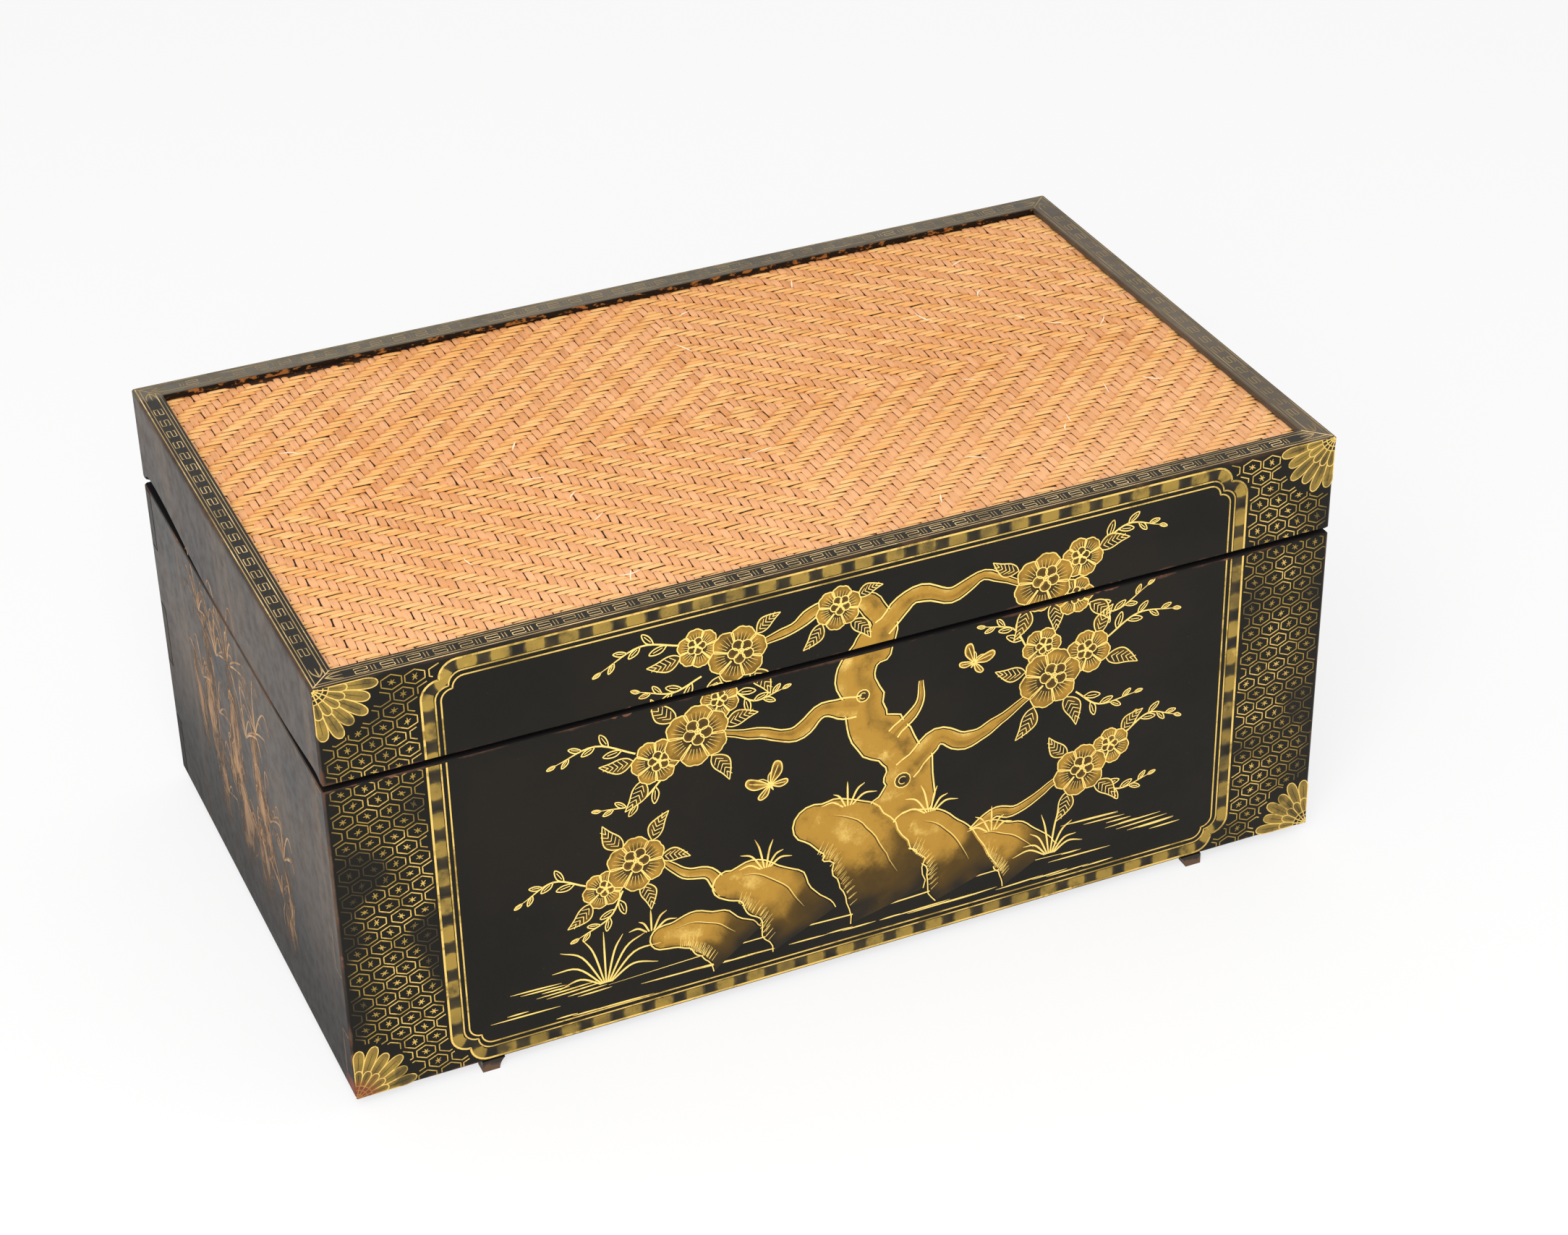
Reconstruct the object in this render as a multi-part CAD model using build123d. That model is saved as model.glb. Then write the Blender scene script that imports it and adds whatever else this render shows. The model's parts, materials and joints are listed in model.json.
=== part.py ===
from build123d import *
import os
from math import cos, radians, sin

# Lacquered wooden chest with a hinged, cane-topped lid. Millimetres, +Z up, front towards -Y.

# Outer box, without feet and hinge barrels
chest_length = 850.0
chest_depth = 500.0
carcass_height = 290.0
lid_height = 85.4
seam_gap = 3.2
foot_height = 10.0

# Walls and their corner joints
wall = 18.0
finger_count = 5
edge_round = 2.5
edge_bevel = 1.8

# Bottom board, let into a groove
bottom_thick = 12.0
bottom_lift = 8.0
groove_depth = 6.0
groove_fit = 0.2

# Lip strips round the inside of the chest, which the lid rests on
lip_thick = 9.0
lip_depth = 42.0
lip_rise = 10.0
lip_clear = 0.8
lid_rest_gap = 0.3

# Lid: panel in a groove, cane mat on the panel, mitred rim over the mat's edge
panel_thick = 10.0
tongue_thick = 5.0
mat_thick = 3.0
mat_fit = 0.3
rim_width = 21.0
rim_thick = 5.0
rim_bevel = 0.9
lining_thick = 9.0

# Warped left rail: its lower edge bears near the middle of the chest's depth and gapes towards both ends
warp_rest_gap = 0.5
warp_front_gap = 7.0
warp_back_gap = 14.5
warp_front_share = 0.07
warp_rest_shares = (0.35, 0.56)
warp_back_share = 0.89

# Runners and bracket feet
runner_width = 36.0
runner_inset = 107.0
runner_end_round = 12.0
runner_edge_bevel = 2.5
bracket_thick = 12.0
bracket_top = 19.0
bracket_toe = 14.0
bracket_inset = 103.0
bracket_waist_share = 0.25

# Butt hinges, leaves laid flat in the seam at the back
hinge_inset = 170.0
hinge_length = 72.0
knuckle_count = 3
knuckle_gap = 0.3
barrel_radius = 4.0
barrel_stand_off = 0.4
pin_radius = 2.0
pin_clear = 0.05
pin_head_radius = 3.2
pin_head_thick = 1.5
leaf_width = 14.0
leaf_gap = 0.4
screw_head_radius = 3.0
screw_shank_radius = 1.4
screw_length = 16.0
screw_pitch = 44.0
screw_count = 2
screw_inset = 7.0

# Slotted lid stay on the right-hand end
stay_floor_gap = 30.0
stay_rise = 30.0
open_angle = 100.0
stay_thick = 2.5
stay_width = 16.0
stay_post_radius = 3.0
stay_post_clear = 0.08
stay_slot_clear = 0.3
stay_head_radius = 6.5
stay_head_thick = 2.0
stay_side_gap = 0.3

overrun = 2.0

# Levels and faces worked out from the sizes above
SIDES = ("front", "back", "left", "right")
barrel_reach = barrel_stand_off + barrel_radius * 2
mid_y = -barrel_reach / 2
front_y = mid_y - chest_depth / 2
back_y = mid_y + chest_depth / 2
inner_length = chest_length - wall * 2
inner_depth = chest_depth - wall * 2
carcass_low = foot_height
carcass_top = carcass_low + carcass_height
lid_low = carcass_top + seam_gap
lid_top = lid_low + lid_height
rail_top = lid_top - rim_thick
panel_top = rail_top - mat_thick
panel_low = panel_top - panel_thick
lip_top = carcass_top + lip_rise
finger_height = carcass_height / finger_count
runner_centre = chest_length / 2 - runner_inset
bracket_outer = chest_length / 2 - bracket_inset
hinge_centre = chest_length / 2 - hinge_inset
axis_y = back_y + barrel_stand_off + barrel_radius
axis_z = carcass_top + seam_gap / 2
leaf_thick = (seam_gap - leaf_gap) / 2
knuckle_pitch = (hinge_length + knuckle_gap) / knuckle_count


def slab(low, high):
    """A block between two opposite corners."""
    size = [b - a for a, b in zip(low, high)]
    return Pos(*low) * Box(*size, align=Align.MIN)


def ring(outer, inner, low, high, corner=0.0):
    """A rectangular frame between two levels, centred on the chest; outer and inner are (length, depth)."""
    outline = RectangleRounded(*outer, corner) if corner else Rectangle(*outer)
    return extrude(Pos(0, mid_y, low) * (outline - Rectangle(*inner)), amount=high - low)


def wedge(side, low, high):
    """The part of the plan that belongs to one side of a mitred frame."""
    half_x = chest_length / 2 + overrun
    half_y = chest_depth / 2 + overrun
    ridge = half_x - half_y
    plans = {
        "front": [(-half_x, -half_y), (half_x, -half_y), (ridge, 0), (-ridge, 0)],
        "back": [(half_x, half_y), (-half_x, half_y), (-ridge, 0), (ridge, 0)],
        "left": [(-half_x, half_y), (-half_x, -half_y), (-ridge, 0)],
        "right": [(half_x, -half_y), (half_x, half_y), (ridge, 0)],
    }
    plan = make_face(Polyline(*plans[side], close=True))
    return extrude(Pos(0, mid_y, low - overrun) * plan, amount=high - low + overrun * 2)


def mitred(frame):
    """Cut a frame at its corners into four pieces, one for each side."""
    box = frame.bounding_box()
    return {side: frame & wedge(side, box.min.Z, box.max.Z) for side in SIDES}


def upright_edges(solid, x, y):
    """The upright edges of a solid at one place in the plan."""
    found = []
    for edge in solid.edges().filter_by(Axis.Z):
        middle = edge.center()
        if abs(middle.X - x) < edge_round and abs(middle.Y - y) < edge_round:
            found.append(edge)
    return found


def outside_edges(frame, level):
    """The edges round the outside of a frame at its lowest (0) or highest (-1) level."""
    limit_x = chest_length / 2 - edge_round
    limit_y = chest_depth / 2 - edge_round
    found = []
    for edge in frame.edges().group_by(Axis.Z)[level]:
        middle = edge.center()
        if abs(middle.X) > limit_x or abs(middle.Y - mid_y) > limit_y:
            found.append(edge)
    return found


def bottom_groove():
    """The space that the bottom board and its groove take up."""
    half_x = inner_length / 2 + groove_depth
    half_y = inner_depth / 2 + groove_depth
    low = carcass_low + bottom_lift
    return slab((-half_x, mid_y - half_y, low), (half_x, mid_y + half_y, low + bottom_thick))


def corner_blocks(first):
    """The corner spaces of every second finger, counted from the given one upwards."""
    half_x = chest_length / 2
    half_y = chest_depth / 2
    blocks = []
    for k in range(first, finger_count, 2):
        low = carcass_low + k * finger_height
        for sx in (-1, 1):
            for sy in (-1, 1):
                span_x = sorted((sx * (half_x - wall), sx * half_x))
                span_y = sorted((mid_y + sy * (half_y - wall), mid_y + sy * half_y))
                near = (span_x[0], span_y[0], low)
                far = (span_x[1], span_y[1], low + finger_height)
                blocks.append(slab(near, far))
    return blocks


def eased_wall(board):
    """Round the upright corner edges of a wall board and bevel its outer edges above and below."""
    half_x = chest_length / 2
    corners = []
    for x in (-half_x, half_x):
        for y in (front_y, back_y):
            corners += upright_edges(board, x, y)
    board = fillet(corners, edge_round)
    board = chamfer(outside_edges(board, 0) + outside_edges(board, -1), edge_bevel)
    return board - bottom_groove()


def long_wall(face):
    """Front or back board: its own fingers are the lowest, middle and highest ones."""
    low_y, high_y = (face, face + wall) if face == front_y else (face - wall, face)
    half = chest_length / 2
    board = slab((-half, low_y, carcass_low), (half, high_y, carcass_top)) - corner_blocks(1)
    return eased_wall(board)


def end_wall(face):
    """Left or right board, whose fingers reach through between those of the long walls."""
    low_x, high_x = (face, face + wall) if face < 0 else (face - wall, face)
    board = slab((low_x, front_y, carcass_low), (high_x, back_y, carcass_top)) - corner_blocks(0)
    return eased_wall(board)


def bottom_board():
    """Bottom board with room for the wood to move in its groove."""
    half_x = inner_length / 2 + groove_depth - groove_fit
    half_y = inner_depth / 2 + groove_depth - groove_fit
    low = carcass_low + bottom_lift
    return slab((-half_x, mid_y - half_y, low), (half_x, mid_y + half_y, low + bottom_thick))


def lip_strips():
    """Strips glued inside the walls, stepped back above the seam so that the lid's rails clear them."""
    low_outer = (inner_length, inner_depth)
    top_outer = (inner_length - lip_clear * 2, inner_depth - lip_clear * 2)
    inner = (inner_length - lip_thick * 2, inner_depth - lip_thick * 2)
    below = ring(low_outer, inner, carcass_top - lip_depth, carcass_top)
    above = ring(top_outer, inner, carcass_top, lip_top)
    return mitred(below + above)


def runner(sign):
    """A batten under the walls from front to back, with rounded ends and bevelled lower edges."""
    low_x = sign * runner_centre - runner_width / 2
    near = (low_x, front_y + bracket_thick, 0)
    far = (low_x + runner_width, back_y - bracket_thick, foot_height)
    batten = slab(near, far)
    batten = fillet(batten.edges().filter_by(Axis.Z), runner_end_round)
    return chamfer(batten.edges().group_by(Axis.Z)[0], runner_edge_bevel)


def bracket_foot(sign, face):
    """Small bracket before a runner's end: upright outer edge, hollow inner edge."""
    outer = sign * bracket_outer
    top = outer - sign * bracket_top
    toe = outer - sign * bracket_toe
    waist = (toe + (top - toe) * bracket_waist_share, foot_height / 2)
    outline = Line((outer, 0), (outer, foot_height))
    outline += Line((outer, foot_height), (top, foot_height))
    outline += ThreePointArc((top, foot_height), waist, (toe, 0))
    outline += Line((toe, 0), (outer, 0))
    far_y = face + bracket_thick if face == front_y else face
    return extrude(Plane.XZ.offset(-far_y) * make_face(outline), amount=bracket_thick)


def warped_rail(stock):
    """The left rail, cut from its mitred stock to the wavy lower edge that its warp gave it."""
    front_peak = (front_y + chest_depth * warp_front_share, carcass_top + warp_front_gap)
    back_peak = (front_y + chest_depth * warp_back_share, carcass_top + warp_back_gap)
    rest = [(front_y + chest_depth * share, carcass_top + warp_rest_gap) for share in warp_rest_shares]
    front_end = (front_y, lid_low)
    back_end = (back_y, lid_low)
    outline = Spline(front_end, front_peak, rest[0], tangents=[(1, 1), (1, 0)])
    outline += Line(*rest)
    outline += Spline(rest[1], back_peak, back_end, tangents=[(1, 0), (1, -1)])
    outline += Polyline(back_end, (back_y, rail_top), (front_y, rail_top), front_end)
    side = Plane.YZ.offset(-chest_length / 2) * make_face(outline)
    rail = stock & extrude(side, amount=wall)
    outer_face = rail.faces().sort_by(Axis.X)[0]
    lower_edges = outer_face.edges().filter_by(Axis.Z, reverse=True).sort_by(Axis.Z)[:-1]
    return chamfer(lower_edges, edge_bevel)


def lid_rails():
    """Mitred rails with a groove for the panel; the left one is warped."""
    outer = (chest_length, chest_depth)
    inner = (inner_length, inner_depth)
    frame = ring(outer, inner, lid_low, rail_top, edge_round)
    rails = mitred(chamfer(outside_edges(frame, 0), edge_bevel))
    rails["left"] = warped_rail(mitred(ring(outer, inner, carcass_top, rail_top, edge_round))["left"])
    groove = (inner_length + groove_depth * 2, inner_depth + groove_depth * 2)
    tongue_low = panel_low + (panel_thick - tongue_thick) / 2
    tongue_space = ring(groove, inner, tongue_low, tongue_low + tongue_thick)
    return {name: rail - tongue_space for name, rail in rails.items()}


def lid_panel():
    """Panel between the rails, with a tongue all round."""
    tongue_low = panel_low + (panel_thick - tongue_thick) / 2
    half_x = inner_length / 2 - groove_fit
    half_y = inner_depth / 2 - groove_fit
    reach = groove_depth
    board = slab((-half_x, mid_y - half_y, panel_low), (half_x, mid_y + half_y, panel_top))
    near = (-half_x - reach, mid_y - half_y - reach, tongue_low)
    far = (half_x + reach, mid_y + half_y + reach, tongue_low + tongue_thick)
    return board + slab(near, far)


def cane_mat():
    """Plain sheet of woven cane on the panel, its edges under the rim."""
    half_x = inner_length / 2 - mat_fit
    half_y = inner_depth / 2 - mat_fit
    return slab((-half_x, mid_y - half_y, panel_top), (half_x, mid_y + half_y, rail_top))


def rim_strips():
    """Mitred flat rim on top of the rails, its outer edges eased."""
    inner = (chest_length - rim_width * 2, chest_depth - rim_width * 2)
    frame = ring((chest_length, chest_depth), inner, rail_top, lid_top, edge_round)
    return mitred(chamfer(outside_edges(frame, -1), rim_bevel))


def lid_linings():
    """Strips inside the rails, from the panel down to just above the chest's lip."""
    inner = (inner_length - lining_thick * 2, inner_depth - lining_thick * 2)
    return mitred(ring((inner_length, inner_depth), inner, lip_top + lid_rest_gap, panel_low))


def along_x(radius, low, high, y=axis_y, z=axis_z):
    """A round bar along X."""
    bar = Cylinder(radius, high - low, align=(Align.CENTER, Align.CENTER, Align.MIN))
    return Pos(low, y, z) * Rot(0, 90, 0) * bar


def knuckles(centre, first):
    """Every second knuckle of a hinge barrel, as (low x, high x)."""
    start = centre - hinge_length / 2
    spans = []
    for k in range(first, knuckle_count, 2):
        low = start + k * knuckle_pitch
        spans.append((low, low + knuckle_pitch - knuckle_gap))
    return spans


def hinge_screw(x, sign):
    """Countersunk screw at one leaf: sign -1 goes down into the chest, +1 up into the lid."""
    face = axis_z + sign * leaf_gap / 2
    seat = face + sign * leaf_thick
    tip = seat + sign * screw_length
    y = back_y - screw_inset
    rim = (screw_head_radius, face)
    neck = (screw_shank_radius, seat)
    outline = Polyline((0, face), rim, neck, (screw_shank_radius, tip), (0, tip), close=True)
    return Pos(x, y, 0) * revolve(Plane.XZ * make_face(outline), Axis.Z)


def hinge_screws(sign):
    """All the screws of the lower or the upper leaves."""
    screws = []
    for centre in (-hinge_centre, hinge_centre):
        for k in range(screw_count):
            screws.append(hinge_screw(centre + (k - (screw_count - 1) / 2) * screw_pitch, sign))
    return screws


def hinge_leaf(centre, sign, screws):
    """One leaf: a plate flat in the seam and its share of the barrel."""
    first = 0 if sign < 0 else 1
    low_z, high_z = sorted((axis_z + sign * leaf_gap / 2, axis_z + sign * (leaf_gap / 2 + leaf_thick)))
    half = hinge_length / 2
    leaf = slab((centre - half, back_y - leaf_width, low_z), (centre + half, back_y, high_z))
    for low_x, high_x in knuckles(centre, first):
        leaf += slab((low_x, back_y, low_z), (high_x, axis_y, high_z))
        leaf += along_x(barrel_radius, low_x, high_x)
    leaf -= along_x(pin_radius + pin_clear, centre - half - overrun, centre + half + overrun)
    return leaf - screws


def hinge_pin(centre):
    """Pin through the barrel, with a round head at its outer end."""
    half = hinge_length / 2
    outer = centre + half if centre > 0 else centre - half
    tip = outer + pin_head_thick if centre > 0 else outer - pin_head_thick
    shank = along_x(pin_radius, centre - half, centre + half)
    return shank + along_x(pin_head_radius, *sorted((outer, tip)))


# The stay's post on the lid and its stud on the chest lie at one distance from the hinge axis,
# so the bar between them always turns half as far as the lid. Its length follows from the room
# that it has to hang in, and its length sets how far in front of the axis it is fixed.
post_z = axis_z + stay_rise
stud_z = axis_z - stay_rise
closed_span = stay_rise * 2
bar_high = post_z + stay_width / 2
bar_low = carcass_low + bottom_lift + bottom_thick + stay_floor_gap
open_span = post_z - stay_width / 2 - bar_low
half_open = radians(open_angle) / 2
stay_run = (open_span / 2 - stay_rise * cos(half_open)) / sin(half_open)
stay_y = axis_y - stay_run
stay_face_x = inner_length / 2 - lip_thick
stay_bar_far = stay_face_x - stay_side_gap
stay_bar_near = stay_bar_far - stay_thick


def stay_fixing(z):
    """Post through the bar, with a flat head on the inner side."""
    head_face = stay_bar_near - stay_side_gap
    post = along_x(stay_post_radius, head_face, stay_face_x, stay_y, z)
    return post + along_x(stay_head_radius, head_face - stay_head_thick, head_face, stay_y, z)


def stay_bar():
    """Flat bar with a round eye for the post and a long slot for the stud, hanging down when shut."""
    eye_radius = stay_post_radius + stay_post_clear
    slot_half = stay_post_radius + stay_slot_clear
    slot_travel = open_span - closed_span
    slot_middle = post_z - (closed_span + open_span) / 2
    side = Plane.YZ.offset(stay_bar_near)
    bar_middle = (bar_low + bar_high) / 2
    bar = side * Pos(stay_y, bar_middle) * SlotOverall(bar_high - bar_low, stay_width, rotation=90)
    bar -= side * Pos(stay_y, post_z) * Circle(eye_radius)
    slot = SlotOverall(slot_travel + slot_half * 2, slot_half * 2, rotation=90)
    bar -= side * Pos(stay_y, slot_middle) * slot
    return extrude(bar, amount=stay_thick)


def build():
    """Every piece by its node name."""
    nodes = {
        "front_board": long_wall(front_y),
        "back_board": long_wall(back_y) - hinge_screws(-1),
        "left_board": end_wall(-chest_length / 2),
        "right_board": end_wall(chest_length / 2),
        "bottom_board": bottom_board(),
        "lid_panel": lid_panel(),
        "cane_mat": cane_mat(),
        "stay_stud": stay_fixing(stud_z),
        "stay_post": stay_fixing(post_z),
        "stay_bar": stay_bar(),
        "hinge_lower_screws": Compound(children=hinge_screws(-1)),
        "hinge_upper_screws": Compound(children=hinge_screws(1)),
    }
    for name, sign in (("left", -1), ("right", 1)):
        nodes[f"{name}_runner"] = runner(sign)
        nodes[f"front_{name}_foot"] = bracket_foot(sign, front_y)
        nodes[f"back_{name}_foot"] = bracket_foot(sign, back_y)
        nodes[f"{name}_hinge_lower_leaf"] = hinge_leaf(sign * hinge_centre, -1, hinge_screws(-1))
        nodes[f"{name}_hinge_upper_leaf"] = hinge_leaf(sign * hinge_centre, 1, hinge_screws(1))
        nodes[f"{name}_hinge_pin"] = hinge_pin(sign * hinge_centre)
    for kind, strips in (("lip", lip_strips()), ("rim", rim_strips()), ("lid_lining", lid_linings())):
        for side in SIDES:
            nodes[f"{side}_{kind}"] = strips[side]
    for side, rail in lid_rails().items():
        nodes[f"lid_{side}_rail"] = rail - hinge_screws(1) if side == "back" else rail
    return nodes


os.makedirs("parts", exist_ok=True)
for node, solid in build().items():
    export_step(solid, f"parts/{node}.step")
    print(node, round(solid.volume))
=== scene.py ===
# %% [markdown]
# # A lacquered chest with a woven top
# The chest is black lacquer over wood, painted in gold, with a lid that carries a mat of woven cane.
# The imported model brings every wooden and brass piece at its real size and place. What is left to do here
# is what a brush, a loom and the years added: lacquer, gold, woven cane and wear.

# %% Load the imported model
import bpy
import json
import math
import numpy as np
from mathutils import Matrix, Vector, noise


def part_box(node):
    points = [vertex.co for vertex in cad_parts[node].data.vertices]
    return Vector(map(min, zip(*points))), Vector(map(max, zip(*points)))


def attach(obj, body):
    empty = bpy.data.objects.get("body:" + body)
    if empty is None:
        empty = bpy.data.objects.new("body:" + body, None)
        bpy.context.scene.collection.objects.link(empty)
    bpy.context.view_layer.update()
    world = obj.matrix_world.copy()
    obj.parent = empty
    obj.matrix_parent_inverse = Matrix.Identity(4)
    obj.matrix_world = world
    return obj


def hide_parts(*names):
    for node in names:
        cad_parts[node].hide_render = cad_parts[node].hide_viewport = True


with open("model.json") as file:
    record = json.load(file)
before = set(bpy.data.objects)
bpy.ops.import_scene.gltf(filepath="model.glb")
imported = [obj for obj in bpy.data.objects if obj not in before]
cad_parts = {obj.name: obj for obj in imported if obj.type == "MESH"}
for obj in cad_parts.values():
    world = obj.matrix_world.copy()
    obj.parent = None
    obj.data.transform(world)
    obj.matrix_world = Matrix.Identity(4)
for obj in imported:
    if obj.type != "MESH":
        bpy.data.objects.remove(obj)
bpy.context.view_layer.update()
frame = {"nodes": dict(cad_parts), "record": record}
bpy.ops.object.select_all(action="DESELECT")
print("pieces of the packed model:", len(frame["nodes"]))

# %% [markdown]
# The ornament follows the chest's faces, so their places are read from the model and never typed again.
# Patterns are drawn in millimetres, because a brush line is about one millimetre wide.

# %% Places of the faces
MM = 0.001
board_low, board_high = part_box("front_board")
rim_low, rim_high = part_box("front_rim")
back_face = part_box("back_board")[1].y
mat_low, mat_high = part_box("cane_mat")

half_length = board_high.x
front_face = board_low.y
middle_y = (front_face + back_face) / 2
half_depth = (back_face - front_face) / 2
body_low = board_low.z
seam_low = board_high.z
seam_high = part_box("lid_front_rail")[0].z
lid_top = rim_high.z
rim_width = rim_high.y - rim_low.y
rim_edge = back_face - rim_width
wall = board_high.y - board_low.y
half_u = half_length / MM
half_end = half_depth / MM
face_height = (lid_top - body_low) / MM
print("front face in mm:", round(2 * half_u), "by", round(face_height, 1))

# %% [markdown]
# ## Camera
# The camera stands where the picture was taken from: a little left of the chest, at eye height, with a
# portrait lens. It turns about the upright axis, tips down and leans very slightly.

# %% Camera
camera_place = (-0.9040, -2.2150, 1.6999)
camera_heading = math.radians(23.356)
camera_tilt = math.radians(57.699)
camera_lean = math.radians(-1.219)
camera_lens = 76.94
film_width = 36.0

bpy.ops.object.camera_add()
camera = bpy.context.object
camera.name = "camera"
camera.data.lens = camera_lens
camera.data.sensor_width = film_width
turn = Matrix.Rotation(-camera_heading, 4, "Z")
tip = Matrix.Rotation(camera_tilt, 4, "X")
lean = Matrix.Rotation(camera_lean, 4, "Z")
camera.matrix_world = Matrix.Translation(camera_place) @ turn @ tip @ lean
bpy.context.scene.camera = camera
print("camera at", [round(value, 2) for value in camera.location])

# %% [markdown]
# ## Writing shaders as sums
# A finish is a small recipe: this colour where the noise is high, that one near an edge. Written as Python
# sums it reads like the recipe itself. `Wire` is one value in a material, and adding or multiplying two wires
# adds the node that does so. `Finish` makes any other node and holds the shader.

# %% A small language for finishes
class Wire:
    """One output in a material, ready for sums and products."""

    def __init__(self, finish, socket):
        self.finish = finish
        self.socket = socket

    def __add__(self, other):
        return self.finish.maths("ADD", self, other)

    def __sub__(self, other):
        return self.finish.maths("SUBTRACT", self, other)

    def __rsub__(self, other):
        return self.finish.maths("SUBTRACT", other, self)

    def __mul__(self, other):
        return self.finish.maths("MULTIPLY", self, other)

    __radd__ = __add__
    __rmul__ = __mul__


class Finish:
    """A material, or the sky, with one shader, built from wires."""

    def __init__(self, name, owner=None, shader="Principled BSDF"):
        self.owner = owner or bpy.data.materials.new(name)
        self.owner.use_nodes = True
        self.tree = self.owner.node_tree
        self.shader = self.tree.nodes[shader]

    def node(self, kind, settings=None, inputs=None, output=0):
        """Any node: its settings first, then values or wires for its sockets."""
        made = self.tree.nodes.new(kind)
        for name, value in (settings or {}).items():
            setattr(made, name, value)
        for key, value in (inputs or {}).items():
            self.feed(made.inputs[key], value)
        return Wire(self, made.outputs[output])

    def feed(self, socket, value):
        """A wire or a fixed value into a socket; a colour has three numbers and is opaque."""
        if isinstance(value, Wire):
            self.tree.links.new(value.socket, socket)
        else:
            socket.default_value = (*value, 1.0) if socket.type == "RGBA" else value

    def maths(self, operation, *values):
        return self.node("ShaderNodeMath", {"operation": operation}, dict(enumerate(values)))

    def smaller(self, a, b):
        return self.maths("MINIMUM", a, b)

    def larger(self, a, b):
        return self.maths("MAXIMUM", a, b)

    def size_of(self, a):
        return self.maths("ABSOLUTE", a)

    def place(self):
        """Where a point is in the chest's own frame, in metres."""
        return self.node("ShaderNodeTexCoord", output="Object")

    def parts(self):
        """The three sides of that place as x, y and z."""
        split = self.node("ShaderNodeSeparateXYZ", inputs={0: self.place()}).socket.node
        return [Wire(self, output) for output in split.outputs]

    def attribute(self, name):
        return self.node("ShaderNodeAttribute", {"attribute_name": name}, output="Fac")

    def noise(self, scale, detail=3.0, roughness=0.55, stretch=(1, 1, 1)):
        """Cloudy variation with the given number of clouds to a metre."""
        moved = self.node("ShaderNodeMapping", inputs={"Vector": self.place(), "Scale": stretch})
        values = {"Vector": moved, "Scale": scale, "Detail": detail, "Roughness": roughness}
        return self.node("ShaderNodeTexNoise", inputs=values)

    def step(self, value, low, high):
        """0 below low, 1 above high, and soft between them."""
        values = {"Value": value, "From Min": low, "From Max": high}
        return self.node("ShaderNodeMapRange", {"interpolation_type": "SMOOTHSTEP"}, values)

    def mix(self, first, second, factor):
        """One colour turning into another; the mix node takes its colours at sockets 6 and 7."""
        values = {0: factor, 6: first, 7: second}
        return self.node("ShaderNodeMix", {"data_type": "RGBA"}, values, output=2)

    def bump(self, height, distance, strength=1.0):
        values = {"Height": height, "Distance": distance, "Strength": strength}
        return self.node("ShaderNodeBump", inputs=values)

    def set(self, **sockets):
        """Values or wires for the shader's own sockets."""
        for name, value in sockets.items():
            self.feed(self.shader.inputs[name.replace("_", " ")], value)
        return self.owner


print("ready to write finishes with", Wire.__name__, "and", Finish.__name__)

# %% [markdown]
# ## Lacquer
# Old lacquer is nearly black and shines softly. It thins to brown where hands and floors rubbed it: along
# every outer edge, more in some places than in others. A point's distance to the nearest edge is the second
# smallest of its distances to the faces, so one sum serves every board.

# %% Distances from the edges
def wall_distances(f):
    """How far a point is from the nearest end of the chest, and from its front or back, in metres."""
    x, y, _ = f.parts()
    return half_length - f.size_of(x), half_depth - f.size_of(y - middle_y)


def seam_distance(f):
    """How far a point is above or below the open seam, in metres."""
    seam_middle = (seam_low + seam_high) / 2
    return f.size_of(f.parts()[2] - seam_middle) - (seam_high - seam_low) / 2


def edge_distance(f):
    """How far a point on the outside is from the nearest edge of the chest or the lid, in metres."""
    to_end, to_front = wall_distances(f)
    z = f.parts()[2]
    to_level = f.smaller(z - body_low, f.smaller(lid_top - z, seam_distance(f)))
    nearer = f.smaller(to_end, to_front)
    farther = f.larger(to_end, to_front)
    return f.larger(nearer, f.smaller(farther, to_level))


def corner_wear(f):
    """The lower front left corner was knocked and rubbed down to the red ground under the black."""
    values = {0: f.place(), 1: (-half_length, front_face, body_low)}
    distance = f.node("ShaderNodeVectorMath", {"operation": "DISTANCE"}, values, "Value")
    return f.step(f.noise(55.0, 4.0, 0.6) * 0.044 - distance, -0.004, 0.012)


print("open seam in mm:", round((seam_high - seam_low) / MM, 1))

# %% [markdown]
# Inside, the boards have only a thin red-brown coat, so that their grain still shows. Grain is noise drawn
# out along the board: a broad figure, fine fibres and dark pores.

# %% Wood grain
red_dark = (0.050, 0.017, 0.010)
red_light = (0.125, 0.047, 0.024)
along_length = (0.06, 1, 1)
along_depth = (1, 0.06, 1)


def darker(colour, share):
    """A colour at some share of its brightness."""
    return tuple(value * share for value in colour)


def grain(f, dark, light, stretch):
    """The colour of wood with its grain along the axis of the small stretch, and the height of its pores."""
    figure = f.noise(30.0, 5.0, 0.6, stretch)
    fibres = f.noise(240.0, 4.0, 0.65, stretch)
    pores = f.noise(700.0, 2.0, 0.5, stretch)
    stains = f.step(f.noise(5.0, 4.0, 0.6), 0.52, 0.78)
    colour = f.mix(dark, light, f.step(figure * 0.6 + fibres * 0.4, 0.38, 0.62))
    colour = f.mix(colour, darker(dark, 0.35), f.step(pores, 0.56, 0.70) * 0.7)
    colour = f.mix(colour, darker(dark, 0.5), stains * 0.6)
    return colour, fibres * 0.5 - pores


print("red coat inside:", red_dark, "to", red_light)
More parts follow.
